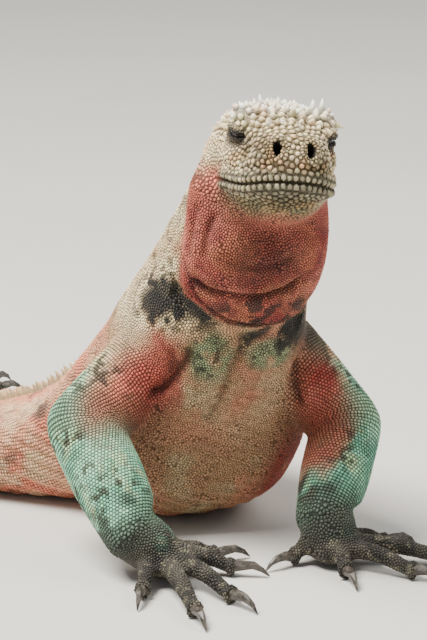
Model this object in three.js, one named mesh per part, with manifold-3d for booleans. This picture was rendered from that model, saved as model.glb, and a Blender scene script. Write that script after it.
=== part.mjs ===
// A marine iguana, life size, resting on its belly with its front propped up on its arms and its head
// raised. Millimetres, +Z up, the floor at z = 0. The shoulders and the head face -Y, so the animal's
// right side is at -X. The trunk and tail bend away behind it, towards its right.
import * as THREE from "three";
import { mergeVertices } from "three/addons/utils/BufferGeometryUtils.js";
import Module from "manifold-3d";

const wasm = await Module();
wasm.setup();

// Gap between neighbouring pieces
const GAP = 0.3;
const DEG = Math.PI / 180;

const COLOUR = {
  head: 0xcfc3a6,
  throat: 0xa8504a,
  trunk: 0xb88a70,
  tail: 0x4c4742,
  arm: 0x86b39a,
  hand: 0x4b4a41,
  leg: 0x7c8a76,
  claw: 0x3a3532,
  eye: 0x1d1712,
};

const vec = (p) => new THREE.Vector3(...p);
const lerp = (a, b, s) => a + (b - a) * s;
const between = (a, b, s) => vec(a).lerp(vec(b), s).toArray();
// The direction across the body, towards its left side, for a heading turned about Z
const across = (turn, lean = 0) => [Math.cos(turn * DEG), Math.sin(turn * DEG), -Math.sin(lean * DEG)];
// A direction along the floor: 0 points along -Y and 90 along +X
const heading = (angle) => [Math.sin(angle * DEG), -Math.cos(angle * DEG), 0];

// The same spread of sizes on every run
let seed = 20;
function random(low, high) {
  seed = (seed * 16807) % 2147483647;
  return lerp(low, high, (seed - 1) / 2147483646);
}

// Solids from geometry, and geometry from solids
function solidOf(geometry) {
  const bare = geometry.clone();
  bare.deleteAttribute("normal");
  bare.deleteAttribute("uv");
  const merged = mergeVertices(bare, 1e-4);
  const triVerts = new Uint32Array(merged.index.array);
  const vertProperties = new Float32Array(merged.attributes.position.array);
  const made = new wasm.Manifold(new wasm.Mesh({ numProp: 3, vertProperties, triVerts }));
  if (made.volume() > 0) return made;
  for (let i = 0; i < triVerts.length; i += 3)
    [triVerts[i + 1], triVerts[i + 2]] = [triVerts[i + 2], triVerts[i + 1]];
  return new wasm.Manifold(new wasm.Mesh({ numProp: 3, vertProperties, triVerts }));
}

function geometryOf(solid) {
  const mesh = solid.getMesh();
  return new THREE.BufferGeometry()
    .setAttribute("position", new THREE.BufferAttribute(new Float32Array(mesh.vertProperties), 3))
    .setIndex(new THREE.BufferAttribute(new Uint32Array(mesh.triVerts), 1));
}

const union = (solids) => solids.reduce((sum, one) => sum.add(one));
const largest = (solid) =>
  solid.decompose().reduce((best, one) => (one.volume() > best.volume() ? one : best));
// Keeps the side of a plane that its normal points to, half a gap away from it
function keepSide(solid, point, normal, gap = GAP) {
  const n = vec(normal).normalize();
  return solid.trimByPlane(n.toArray(), n.dot(vec(point)) + gap / 2);
}
const reverse = (v) => v.map((x) => -x);
const onFloor = (solid) => solid.trimByPlane([0, 0, 1], 0);

// A body swept through stations. Each station says where its middle is, which way is across it, its half
// width, its height above and below the middle, and how square its outline is (2 is an ellipse).
class Sweep {
  constructor(stations) {
    const curve = (pick) =>
      new THREE.CatmullRomCurve3(stations.map((s) => vec(pick(s))), false, "catmullrom", 0.5);
    this.last = stations.length - 1;
    this.middle = curve((s) => s.at);
    this.side = curve((s) => s.across);
    this.size = curve((s) => [s.wide, s.up ?? s.wide, s.down ?? s.up ?? s.wide]);
    this.shape = curve((s) => [s.square ?? 2, 0, 0]);
  }
  frame(t) {
    const share = THREE.MathUtils.clamp(t / this.last, 0, 1);
    const along = this.middle.getTangent(share);
    const rough = this.side.getPoint(share);
    const side = rough.addScaledVector(along, -rough.dot(along)).normalize();
    const lift = new THREE.Vector3().crossVectors(side, along).normalize();
    const [wide, up, down] = this.size.getPoint(share).toArray();
    const square = this.shape.getPoint(share).x;
    return { centre: this.middle.getPoint(share), along, side, lift, wide, up, down, square };
  }
  // A point of the outline at t, at an angle round it from the left side over the back
  point(t, angle, grow = 0) {
    const f = this.frame(t);
    const c = Math.cos(angle);
    const s = Math.sin(angle);
    const power = 2 / f.square;
    const x = Math.sign(c) * Math.abs(c) ** power * (f.wide + grow);
    const z = Math.sign(s) * Math.abs(s) ** power * ((s > 0 ? f.up : f.down) + grow);
    return f.centre.addScaledVector(f.side, x).addScaledVector(f.lift, z);
  }
  // The way out of the surface at a point of the outline
  outward(t, angle) {
    const along = this.point(t + 0.05, angle).sub(this.point(t - 0.05, angle));
    const round = this.point(t, angle + 0.05).sub(this.point(t, angle - 0.05));
    const out = along.cross(round).normalize();
    const away = this.point(t, angle).sub(this.frame(t).centre);
    return out.dot(away) < 0 ? out.negate() : out;
  }
  // The closed solid from one station to another, pulled back at the ends that ask for it
  solid(from, to, rings, sides, { grow = 0, trim = [0, 0] } = {}) {
    const points = [];
    for (let i = 0; i <= rings; i++) {
      const t = lerp(from, to, i / rings);
      const pull = i === 0 ? trim[0] : i === rings ? -trim[1] : 0;
      const shift = this.frame(t).along.multiplyScalar(pull);
      for (let k = 0; k < sides; k++)
        points.push(this.point(t, (2 * Math.PI * (k + 0.5 * (i % 2))) / sides, grow).add(shift));
    }
    const faces = [];
    for (let i = 0; i < rings; i++)
      for (let k = 0; k < sides; k++) {
        const next = (k + 1) % sides;
        const [a, b] = [i * sides + k, i * sides + next];
        const [c, d] = [a + sides, b + sides];
        if (i % 2) faces.push(a, b, d, a, d, c);
        else faces.push(a, b, c, b, d, c);
      }
    for (const [ring, turned] of [[0, false], [rings, true]]) {
      const hub = points.length;
      const start = ring * sides;
      const middle = new THREE.Vector3();
      for (let k = 0; k < sides; k++) middle.addScaledVector(points[start + k], 1 / sides);
      points.push(middle);
      for (let k = 0; k < sides; k++) {
        const pair = [start + k, start + ((k + 1) % sides)];
        faces.push(hub, ...(turned ? pair : pair.reverse()));
      }
    }
    return solidOf(new THREE.BufferGeometry().setFromPoints(points).setIndex(faces));
  }
}

// A round or stretched ball
function ball(at, [rx, ry, rz], sides = 14) {
  const geometry = new THREE.SphereGeometry(1, sides, Math.max(6, Math.round(sides * 0.6)));
  return solidOf(geometry.scale(rx, ry, rz).translate(...at));
}

const parts = new Map();

// Neck, trunk and tail, one line of stations from the back of the head to the tip of the tail
const BODY = [
  { at: [49, -120, 146], across: across(0, 5), wide: 24, up: 19, down: 23, square: 2.1 },
  { at: [44.6, -116, 122], across: across(0, 5), wide: 29.5, up: 28, down: 26, square: 2.2 },
  { at: [41, -108, 99], across: across(2, 4), wide: 34, up: 34, down: 28, square: 2.2 },
  { at: [38.8, -94, 77], across: across(4, 3), wide: 40.2, up: 35, down: 38, square: 2.4 },
  { at: [39, -76, 60], across: across(10, 2), wide: 43, up: 34, down: 56, square: 2.7 },
  { at: [29, -55, 45], across: across(22, 1), wide: 46, up: 29, down: 52, square: 2.7 },
  { at: [14, -35, 34], across: across(36), wide: 46, up: 22, down: 38, square: 2.6 },
  { at: [-6, -19, 26], across: across(50), wide: 43, up: 15, down: 30, square: 2.6 },
  { at: [-28, -5, 21], across: across(59), wide: 39, up: 12, down: 24, square: 2.5 },
  { at: [-52, 8, 18.5], across: across(62), wide: 34, up: 12, down: 19.5, square: 2.3 },
  { at: [-76, 21, 17.5], across: across(60), wide: 29, up: 12.5, down: 18.5, square: 2.2 },
  { at: [-99, 37, 16.5], across: across(54), wide: 20, up: 13.5, down: 17.5, square: 2.1 },
  { at: [-119, 58, 15.5], across: across(45), wide: 13, up: 14.5, down: 16 },
  { at: [-148, 98, 14.5], across: across(31), wide: 9.5, up: 14, down: 15 },
  { at: [-168, 146, 13.5], across: across(17), wide: 8, up: 13, down: 14 },
  { at: [-175, 198, 12], across: across(2), wide: 7, up: 12, down: 12.5 },
  { at: [-170, 250, 10.5], across: across(-10), wide: 6, up: 10.5, down: 11 },
  { at: [-155, 300, 9], across: across(-22), wide: 5, up: 9, down: 9.5 },
  { at: [-130, 346, 7.5], across: across(-33), wide: 4.2, up: 7.5, down: 8 },
  { at: [-98, 386, 6], across: across(-42), wide: 3.4, up: 6, down: 6.4 },
  { at: [-62, 418, 4.6], across: across(-50), wide: 2.6, up: 4.4, down: 5 },
  { at: [-36, 438, 3.4], across: across(-54), wide: 1.9, up: 3, down: 3.8 },
  { at: [-22, 448, 2.6], across: across(-55), wide: 1, up: 1.4, down: 3 },
];
const body = new Sweep(BODY);
const NECK_END = 3.2;
const lengthOfBody = (from, to, rings, sides, trim = [GAP / 2, GAP / 2]) =>
  onFloor(body.solid(from, to, rings, sides, { trim }));

// Head, in its own frame: origin between the jaw joints, -Y towards the snout, +Z up
const HEAD_AT = [50.5, -130, 156.5];
const HEAD_TURN = { yaw: -7, pitch: -12.5, roll: 6 };
const EYE = { at: [14.6, -26, 10], radius: 5.2, facing: 36, slope: 15 };
const HOLLOW = { at: [21.6, -39, 4.5], size: [6.4, 9.5, 8] };
const NOSTRIL = { at: [6.4, -46.3, 4], wide: 1.5, high: 2.2 };
const MOUTH = { high: 0.9, deep: 2.4, corner: -17, level: -8 };
const SKULL = [
  { at: [0, 24, -3], wide: 19, up: 14, down: 22, square: 2 },
  { at: [0, 13, -2], wide: 24, up: 18.5, down: 27, square: 2.1 },
  { at: [0, 2, -1], wide: 25.2, up: 21.5, down: 29, square: 2.15 },
  { at: [0, -9, 0], wide: 24.6, up: 22.3, down: 27, square: 2.15 },
  { at: [0, -19, 0], wide: 23.3, up: 22.3, down: 24.5, square: 2.2 },
  { at: [0, -29, 0], wide: 21.6, up: 20.5, down: 22, square: 2.25 },
  { at: [0, -37, -1], wide: 19.2, up: 16.5, down: 19, square: 2.35 },
  { at: [0, -43, -2], wide: 17, up: 13, down: 16.5, square: 2.4 },
  { at: [0, -47.5, -3], wide: 13, up: 9.5, down: 12.5, square: 2.4 },
  { at: [0, -49.8, -3.5], wide: 7.5, up: 5.5, down: 7.5, square: 2.2 },
].map((s) => ({ ...s, across: [-1, 0, 0] }));
const skull = new Sweep(SKULL);
const headFrame = new THREE.Matrix4()
  .makeTranslation(...HEAD_AT)
  .multiply(new THREE.Matrix4().makeRotationZ(HEAD_TURN.yaw * DEG))
  .multiply(new THREE.Matrix4().makeRotationX(HEAD_TURN.pitch * DEG))
  .multiply(new THREE.Matrix4().makeRotationY(HEAD_TURN.roll * DEG));
const inHead = (solid) => solid.transform(headFrame.elements);
const headPoint = (p) => vec(p).applyMatrix4(headFrame).toArray();
const headWay = (p) => vec(p).transformDirection(headFrame).toArray();

// The half width of the snout at a depth y along the head, on the level of the mouth
function mouthWidth(y) {
  for (let t = 0; t <= skull.last; t += 0.02) {
    const p = skull.point(t, 0.22 * -1);
    if (p.y <= y) return Math.abs(p.x);
  }
  return 0;
}

// The line of the mouth, from its right corner round the snout to its left corner
function mouthLine(rise, inset) {
  const stations = [];
  for (const turn of [-1, -0.82, -0.62, -0.42, -0.2, 0, 0.2, 0.42, 0.62, 0.82, 1]) {
    const far = Math.abs(turn);
    const y = lerp(-49.6, MOUTH.corner, far ** 1.7);
    const x = turn === 0 ? 0 : Math.sign(turn) * (mouthWidth(y) - inset);
    const dip = 1.6 * Math.sin(Math.PI * far) ** 2;
    const at = [x, turn === 0 ? y + inset : y, MOUTH.level + rise - dip];
    stations.push({ at, across: turn === 0 ? [0, -1, 0] : [Math.sign(turn) * far, -(1 - far), 0] });
  }
  return stations;
}

const mouthCut = new Sweep(mouthLine(0, 0.2).map((s) => ({ ...s, wide: MOUTH.deep, up: MOUTH.high / 2 })));
const lip = (rise) => new Sweep(mouthLine(rise, 1.9).map((s) => ({ ...s, wide: 2.2, up: 1.9 })));

function eyeForms(side) {
  const at = [side * EYE.at[0], EYE.at[1], EYE.at[2]];
  const lids = ball(at, [EYE.radius + 1, EYE.radius + 1.6, EYE.radius + 1.1], 14);
  const brow = ball([side * 15.8, at[1] + 2, at[2] + 6.6], [5, 10, 4.2], 10);
  const socket = ball(at, [EYE.radius + GAP, EYE.radius + GAP, EYE.radius + GAP], 12);
  const slit = solidOf(
    new THREE.SphereGeometry(1, 10, 6)
      .scale(6, 4.8, 0.75)
      .rotateX(EYE.slope * DEG)
      .translate(side * 5, 0, -0.4)
      .rotateZ(-side * EYE.facing * DEG)
      .translate(...at),
  );
  return { lids, brow, socket, slit, eye: ball(at, [EYE.radius, EYE.radius, EYE.radius], 12) };
}
const eyes = { right: eyeForms(-1), left: eyeForms(1) };

const nostrils = [-1, 1].map((side) => {
  const [x, y, z] = NOSTRIL.at;
  return {
    rim: ball([side * x, y + 1.6, z], [3.4, 2.6, 3.8], 10),
    hole: ball([side * x, y - 0.6, z], [NOSTRIL.wide, 3.2, NOSTRIL.high], 8),
  };
});

const hollow = (side) => ball([side * HOLLOW.at[0], HOLLOW.at[1], HOLLOW.at[2]], HOLLOW.size, 14);
const hollows = union([hollow(-1), hollow(1)]);
const skullSolid = union([
  skull.solid(0, skull.last, 15, 28).subtract(hollows),
  lip(1.8).solid(0, 10, 16, 6),
  lip(-1.9).solid(0, 10, 16, 6),
  eyes.right.lids,
  eyes.left.lids,
  eyes.right.brow,
  eyes.left.brow,
  ...nostrils.map((n) => n.rim),
]);
const headCuts = union([
  mouthCut.solid(0, 10, 16, 6),
  ...nostrils.map((n) => n.hole),
  eyes.right.socket,
  eyes.left.socket,
  eyes.right.slit,
  eyes.left.slit,
]);

// The throat pouch hangs from the chin to the chest in two rolls
const THROAT = [
  { at: [48, -126, 160], wide: 21, up: 9, down: 10, square: 2.2 },
  { at: [45.5, -134, 147], wide: 28, up: 15, down: 13, square: 2.2 },
  { at: [44, -138, 132], wide: 29.5, up: 15, down: 14, square: 2.3 },
  { at: [42.3, -138.5, 119], wide: 29, up: 16, down: 15, square: 2.2 },
  { at: [41.6, -136, 109], wide: 27, up: 16, down: 13.5, square: 2.2 },
  { at: [41.5, -134, 104.5], wide: 24.5, up: 15, down: 12.5, square: 2.2 },
  { at: [41, -131, 99], wide: 23, up: 16, down: 13, square: 2.2 },
  { at: [40.5, -124, 91], wide: 17, up: 14, down: 10, square: 2.2 },
].map((s) => ({ ...s, across: across(0, 5) }));
const throat = new Sweep(THROAT);

// Low pyramids over the crown, tallest at the back of it and lower down the sides and the snout
const CROWN = { spacing: 5.9, from: 8, to: -43, side: 30, tallest: 4.2 };
function crownSpikes() {
  const spikes = [];
  const rows = Math.round((CROWN.from - CROWN.to) / (CROWN.spacing * 0.88));
  for (let row = 0; row <= rows; row++) {
    const y = lerp(CROWN.from, CROWN.to, row / rows);
    const t = skullStation(y);
    const arc = ((180 - 2 * CROWN.side) * DEG * (skull.frame(t).wide + skull.frame(t).up)) / 2;
    const count = Math.max(3, Math.round(arc / CROWN.spacing));
    for (let i = 0; i < count; i++) {
      const share = (i + (row % 2 ? 0.25 : 0.75)) / count;
      const angle = lerp(CROWN.side, 180 - CROWN.side, share) * DEG + random(-0.03, 0.03);
      const at = skull.point(t + random(-0.08, 0.08), angle);
      const away = ([x, y, z]) => Math.hypot(Math.abs(at.x) - x, at.y - y, at.z - z);
      const nearEye = away(EYE.at) < 9.5;
      const nearNostril = away(NOSTRIL.at) < 5.5;
      if (nearEye || nearNostril || at.z < 1) continue;
      const back = THREE.MathUtils.smoothstep(y, -46, -12);
      const top = Math.sin(angle) ** 2;
      const high = CROWN.tallest * lerp(0.35, 1, back) * lerp(0.45, 1, top) * random(0.75, 1.15);
      const wide = Math.min(2.7, 1.6 + high * 0.28);
      const along = vec([0, 1, 0]);
      spikes.push(spike({ at, out: skull.outward(t, angle), lean: 0.12, along, wide, thick: wide, high }));
    }
  }
  return spikes;
}
// The station of the skull at a depth y along the head
function skullStation(y) {
  let t = 0;
  while (t < skull.last && skull.frame(t).centre.y > y) t += 0.02;
  return t;
}

// A crest of flat spines along the middle of the back, longest on the neck. Heights by station.
const CREST = [
  [0.8, 5], [2, 7.5], [3.2, 6.5], [5.6, 5], [8.6, 4.2], [11.2, 4.6], [14, 5], [18, 3.6], [22, 1.6],
];
const CREST_SPACING = [5.2, 8.6];
function crestHeight(t) {
  const i = Math.min(CREST.length - 2, Math.max(0, CREST.findIndex(([end]) => t < end) - 1));
  const [[t0, h0], [t1, h1]] = [CREST[i], CREST[i + 1]];
  return lerp(h0, h1, THREE.MathUtils.clamp((t - t0) / (t1 - t0), 0, 1));
}
function crest(from, to) {
  const spines = [];
  const onBack = (t) => body.point(t, Math.PI / 2);
  let travelled = 2.6;
  for (let t = from; t < to; t += 0.01) {
    const step = onBack(t + 0.01).distanceTo(onBack(t));
    travelled += step;
    const spacing = lerp(...CREST_SPACING, THREE.MathUtils.smoothstep(t, 3, 14));
    if (travelled < spacing || onBack(t).distanceTo(onBack(to)) < 3) continue;
    travelled = 0;
    const { along, lift } = body.frame(t);
    const high = crestHeight(t) * random(0.85, 1.1);
    const wide = Math.min(2.2, 1 + high * 0.2);
    spines.push(spike({ at: onBack(t), out: lift, lean: 0.16, along, wide, thick: 0.95, high, sides: 5 }));
  }
  return spines;
}

// The head and neck are one form, parted from the chin crease up to the nape
const NECK_PLANE = { at: headPoint([0, -9, -11]), normal: headWay([0, -0.62, 0.78]) };
const chestPlane = body.frame(NECK_END);
const neckForm = union([body.solid(0, NECK_END + 0.4, 10, 28), throat.solid(0, throat.last, 14, 22)]);
const spiked = union([skullSolid, ...crownSpikes()]);
const headAndNeck = union([inHead(spiked), neckForm]).subtract(inHead(headCuts));
parts.set("head", [largest(keepSide(headAndNeck, NECK_PLANE.at, NECK_PLANE.normal)), COLOUR.head]);
const belowHead = keepSide(headAndNeck, NECK_PLANE.at, reverse(NECK_PLANE.normal));
const neck = keepSide(belowHead, chestPlane.centre.toArray(), chestPlane.along.clone().negate().toArray());
parts.set("neck", [largest(union([neck, ...crest(1.15, NECK_END)])), COLOUR.throat]);
for (const side of ["right", "left"]) parts.set("eye_" + side, [inHead(eyes[side].eye), COLOUR.eye]);

const lengths = {
  chest: [NECK_END, 5.6, 8, 28, COLOUR.trunk],
  belly: [5.6, 8.6, 8, 26, COLOUR.trunk],
  hips: [8.6, 11.2, 7, 22, COLOUR.trunk],
  tail_root: [11.2, 13, 6, 16, COLOUR.tail],
  tail_upper: [13, 15, 6, 14, COLOUR.tail],
  tail_middle: [15, 17, 6, 12, COLOUR.tail],
  tail_lower: [17, 19, 6, 10, COLOUR.tail],
};
for (const [name, [from, to, rings, sides, colour]] of Object.entries(lengths))
  parts.set(name, [largest(union([lengthOfBody(from, to, rings, sides), ...crest(from, to)])), colour]);
const tailTip = union([lengthOfBody(19, 22, 8, 8, [GAP / 2, 0]), ...crest(19, 21)]);
parts.set("tail_tip", [largest(tailTip), COLOUR.tail]);

// A pyramid or spine of few sides that stands on a surface, its root sunk in and its point leant back
function spike({ at, out, lean, along, wide, thick, high, sides = 5 }) {
  const geometry = new THREE.ConeGeometry(1, high + 1.6, sides, 1).translate(0, (high + 1.6) / 2 - 1.6, 0);
  const z = out.clone().normalize();
  const x = along.clone().addScaledVector(z, -along.dot(z)).normalize();
  const y = new THREE.Vector3().crossVectors(z, x);
  const basis = new THREE.Matrix4().makeBasis(x.multiplyScalar(wide), z, y.multiplyScalar(thick));
  const shear = new THREE.Matrix4().makeShear(0, 0, lean, 0, 0, 0);
  return solidOf(geometry.applyMatrix4(shear).applyMatrix4(basis).translate(at.x, at.y, at.z));
}

// What the limbs are cut clear of
const clear = { grow: GAP + 0.1 };
const trunkClear = union([
  body.solid(0, NECK_END + 0.4, 10, 28, clear),
  ...Object.values(lengths)
    .slice(0, 5)
    .map(([from, to, rings, sides]) => body.solid(from, to, rings, sides, clear)),
  ...[-GAP, GAP].map((x) => lengthOfBody(...lengths.chest.slice(0, 4)).translate(x, 0, 0)),
  ...[-GAP, GAP].map((y) => lengthOfBody(...lengths.chest.slice(0, 4)).translate(0, y, 0)),
  throat.solid(0, throat.last, 14, 22, clear),
]);

// A limb is two lengths with a ball at the joint between them, parted by planes across its joints
function limb({ root, joint, end, sizes, sides }, palm) {
  const [atRoot, upper, atJoint, lower, atEnd] = sizes;
  const length = (a, b, wides) => {
    const stations = wides.map((w, i) => ({
      at: between(a, b, i / (wides.length - 1)),
      across: [0, 0, 1],
      wide: w,
      up: w,
    }));
    return new Sweep(stations).solid(0, wides.length - 1, 4, sides);
  };
  const whole = union([
    length(root, joint, [atRoot, upper, atJoint]),
    ball(joint, [atJoint, atJoint, atJoint], sides),
    length(joint, between(joint, end, 1.12), [atJoint, lower, atEnd]),
  ]);
  const inward = vec(joint).sub(vec(root)).normalize();
  const outward = vec(end).sub(vec(joint)).normalize();
  const bend = inward.add(outward).toArray();
  const way = vec(palm).sub(vec(end)).normalize().toArray();
  const free = whole.subtract(trunkClear);
  return {
    upper: largest(keepSide(free, joint, reverse(bend))),
    lower: largest(onFloor(keepSide(keepSide(free, joint, bend), end, reverse(way)))),
    end,
    way,
    wide: atEnd,
  };
}

// A foot: the wrist or ankle, the palm or sole, and five digits, each ended by a claw of its own. The
// digits run along headings on the floor, with their length, claw length and thickness.
function foot({ end, way, wide }, { palm, size, digits }) {
  const wrist = new Sweep(
    [end, between(end, palm, 0.55), palm].map((at, i) => ({
      at,
      across: [0, 0, 1],
      wide: [wide, wide * 0.95, wide * 0.75][i],
      up: [wide, wide, wide * 0.9][i],
    })),
  );
  const forms = [wrist.solid(0, 2, 2, 12), ball(palm, size, 11)];
  const claws = digits.map(({ base, angle, length, claw, thick }) => {
    const run = vec(heading(angle));
    const at = (distance, z) => vec([...base, 0]).addScaledVector(run, distance).setZ(z).toArray();
    const side = across(angle);
    const digit = new Sweep([
      { at: between(palm, at(0, 7.5), 0.25), across: side, wide: thick, up: thick },
      { at: at(0, 8), across: side, wide: thick * 1.1, up: thick * 1.1 },
      { at: at(length * 0.45, 7.6), across: side, wide: thick, up: thick },
      { at: at(length * 0.8, 4.6), across: side, wide: thick * 0.86, up: thick * 0.86 },
      { at: at(length + 0.6, 3.4), across: side, wide: thick * 0.8, up: thick * 0.88 },
    ]);
    const knuckle = at(length, 0);
    forms.push(keepSide(digit.solid(0, 4, 6, 6), knuckle, reverse(run.toArray())));
    const hook = new Sweep([
      { at: at(length - 0.6, 3.8), across: side, wide: thick * 0.56, up: thick * 0.62 },
      { at: at(length + claw * 0.35, 5), across: side, wide: thick * 0.46, up: thick * 0.52 },
      { at: at(length + claw * 0.72, 3.9), across: side, wide: thick * 0.3, up: thick * 0.34 },
      { at: at(length + claw, 0.7), across: side, wide: 0.25, up: 0.25 },
    ]);
    return onFloor(keepSide(hook.solid(0, 3, 4, 5), knuckle, run.toArray()));
  });
  const pad = keepSide(union(forms).subtract(trunkClear), end, way);
  return { pad: largest(onFloor(pad)), claws };
}

const LIMBS = {
  arm_right: {
    names: ["upper_arm_right", "forearm_right", "hand_right"],
    colours: [COLOUR.arm, COLOUR.arm, COLOUR.hand],
    bones: {
      root: [19, -99, 76], joint: [-18, -108, 51], end: [-9, -147, 18],
      sizes: [18, 17, 15, 15, 11.5], sides: 13,
    },
    foot: {
      palm: [3, -152, 8], size: [14, 12, 8],
      digits: [
        { base: [10, -143], angle: 96, length: 17, claw: 14, thick: 3.8 },
        { base: [12, -150], angle: 64, length: 18, claw: 14, thick: 4 },
        { base: [8, -160], angle: 20, length: 29, claw: 15, thick: 4.1 },
        { base: [1, -162], angle: -2, length: 36, claw: 15, thick: 4.1 },
        { base: [-6, -157], angle: -25, length: 17, claw: 13, thick: 3.8 },
      ],
    },
  },
  arm_left: {
    names: ["upper_arm_left", "forearm_left", "hand_left"],
    colours: [COLOUR.arm, COLOUR.arm, COLOUR.hand],
    bones: {
      root: [66, -97, 72], joint: [87, -124, 46], end: [68, -151, 18],
      sizes: [18, 16.5, 14.5, 14.5, 11.5], sides: 13,
    },
    foot: {
      palm: [70, -157, 8], size: [12, 11, 8],
      digits: [
        { base: [63, -151], angle: -72, length: 10, claw: 13, thick: 3.7 },
        { base: [69, -163], angle: -4, length: 13, claw: 14, thick: 3.9 },
        { base: [76, -164], angle: 42, length: 26, claw: 14, thick: 4.1 },
        { base: [80, -158], angle: 66, length: 34, claw: 14, thick: 4.1 },
        { base: [79, -150], angle: 98, length: 17, claw: 13, thick: 3.8 },
      ],
    },
  },
  leg_right: {
    names: ["thigh_right", "shank_right", "foot_right"],
    colours: [COLOUR.leg, COLOUR.leg, COLOUR.hand],
    bones: {
      root: [-78, 18, 20], joint: [-102, -28, 20], end: [-139, -8, 11],
      sizes: [13, 15, 13, 11.5, 8.5], sides: 12,
    },
    foot: {
      palm: [-149, -11, 6.5], size: [11, 9, 6.5],
      digits: [
        { base: [-146, -17], angle: -14, length: 12, claw: 9, thick: 3.3 },
        { base: [-150, -18], angle: -26, length: 22, claw: 10, thick: 3.4 },
        { base: [-155, -17], angle: -38, length: 32, claw: 11, thick: 3.6 },
        { base: [-158, -13], angle: -52, length: 40, claw: 11, thick: 3.6 },
        { base: [-155, -7], angle: -84, length: 18, claw: 10, thick: 3.3 },
      ],
    },
  },
  leg_left: {
    names: ["thigh_left", "shank_left", "foot_left"],
    colours: [COLOUR.leg, COLOUR.leg, COLOUR.hand],
    bones: {
      root: [-62, 40, 18], joint: [-22, 66, 16], end: [-42, 92, 11],
      sizes: [13, 14, 12, 11.5, 8.5], sides: 12,
    },
    foot: {
      palm: [-34, 98, 6.5], size: [9, 11, 6.5],
      digits: [
        { base: [-28, 96], angle: 74, length: 12, claw: 9, thick: 3.3 },
        { base: [-27, 100], angle: 88, length: 22, claw: 10, thick: 3.4 },
        { base: [-28, 105], angle: 102, length: 32, claw: 11, thick: 3.6 },
        { base: [-32, 108], angle: 118, length: 40, claw: 11, thick: 3.6 },
        { base: [-38, 105], angle: 150, length: 18, claw: 10, thick: 3.3 },
      ],
    },
  },
};
for (const { names, colours, bones, foot: shape } of Object.values(LIMBS)) {
  const made = limb(bones, shape.palm);
  const { pad, claws } = foot(made, shape);
  [made.upper, made.lower, pad].forEach((solid, i) => parts.set(names[i], [solid, colours[i]]));
  claws.forEach((claw, i) => parts.set(`claw_${names[2]}_${i + 1}`, [claw, COLOUR.claw]));
}

const iguana = new THREE.Group();
for (const [name, [solid, colour]] of parts) {
  const material = new THREE.MeshStandardMaterial({ color: colour, roughness: 0.75, metalness: 0 });
  const mesh = new THREE.Mesh(geometryOf(solid), material);
  mesh.name = name;
  iguana.add(mesh);
}

export default iguana;
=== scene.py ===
# %% [markdown]
# A marine iguana, life size, in red and green breeding colours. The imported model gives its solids: the
# lengths of its body, its legs, feet, claws and eyes. Here they get one skin with no seams, thousands of
# scales that are solid and stand on that skin, spines, claws and eyes, and a studio to be seen in.
# Blender works in metres. The sizes below are in millimetres, because that is how an animal is measured.

import math

import bmesh
import bpy
import numpy as np
from mathutils import Matrix, Vector
from mathutils.bvhtree import BVHTree
from mathutils.kdtree import KDTree


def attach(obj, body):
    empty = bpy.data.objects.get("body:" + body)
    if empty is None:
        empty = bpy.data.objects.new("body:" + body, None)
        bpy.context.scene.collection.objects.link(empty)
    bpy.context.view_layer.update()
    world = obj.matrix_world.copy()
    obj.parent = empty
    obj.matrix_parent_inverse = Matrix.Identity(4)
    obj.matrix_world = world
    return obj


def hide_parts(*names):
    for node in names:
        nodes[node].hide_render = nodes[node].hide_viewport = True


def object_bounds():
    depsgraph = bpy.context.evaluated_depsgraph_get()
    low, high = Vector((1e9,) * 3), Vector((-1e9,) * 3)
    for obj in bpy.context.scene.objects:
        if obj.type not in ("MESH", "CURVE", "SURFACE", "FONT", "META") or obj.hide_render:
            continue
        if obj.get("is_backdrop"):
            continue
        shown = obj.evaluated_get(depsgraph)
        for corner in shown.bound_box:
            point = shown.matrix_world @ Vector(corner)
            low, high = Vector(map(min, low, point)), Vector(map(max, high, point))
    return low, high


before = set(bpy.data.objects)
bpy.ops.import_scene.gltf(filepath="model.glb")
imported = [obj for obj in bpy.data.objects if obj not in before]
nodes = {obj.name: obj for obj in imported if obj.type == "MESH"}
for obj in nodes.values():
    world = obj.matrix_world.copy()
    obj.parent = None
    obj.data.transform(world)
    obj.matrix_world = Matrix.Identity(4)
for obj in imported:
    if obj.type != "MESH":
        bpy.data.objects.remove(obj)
cad_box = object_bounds()
MM = 0.001
rng = np.random.default_rng(7)
scene = bpy.context.scene
print("nodes", len(nodes), "box in mm", [[round(c / MM, 1) for c in corner] for corner in cad_box])

# %% [markdown]
# The camera comes first. It looks down a little at the animal, from its right front. A long lens far
# away keeps the near hands in proportion with the head.

# %% Camera
VIEW = {"azimuth": -18, "elevation": 15, "distance": 1200, "target": (40, -96, 86), "focal_px": 3000}
FRAME_PX = (427, 640)
SENSOR = 36


def aim_camera():
    a, e = math.radians(VIEW["azimuth"]), math.radians(VIEW["elevation"])
    back = Vector((math.sin(a) * math.cos(e), -math.cos(a) * math.cos(e), math.sin(e)))
    data = bpy.data.cameras.new("camera")
    data.sensor_width = SENSOR
    data.lens = VIEW["focal_px"] / max(FRAME_PX) * SENSOR
    camera = bpy.data.objects.new("camera", data)
    scene.collection.objects.link(camera)
    camera.location = (Vector(VIEW["target"]) + back * VIEW["distance"]) * MM
    camera.rotation_mode = "QUATERNION"
    camera.rotation_quaternion = (-back).to_track_quat("-Z", "Y")
    data.clip_start, data.clip_end = 0.05, 20
    scene.camera = camera
    return camera


camera = aim_camera()
print("lens", round(camera.data.lens, 1), "mm")

# %% [markdown]
# A few helpers for numbers. A soft step turns a distance into a mask with no hard edge, and a lattice of
# random values with smooth blends between them gives cloudy patches that are the same on every run.

# %% Number helpers
def soft(x, low, high):
    """0 below low and 1 above high, smooth between, also where low is the larger."""
    s = np.clip((np.asarray(x, float) - low) / (high - low), 0, 1)
    return s * s * (3 - 2 * s)


def mix(a, b, share):
    return a + (b - a) * np.asarray(share)[..., None]


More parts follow.
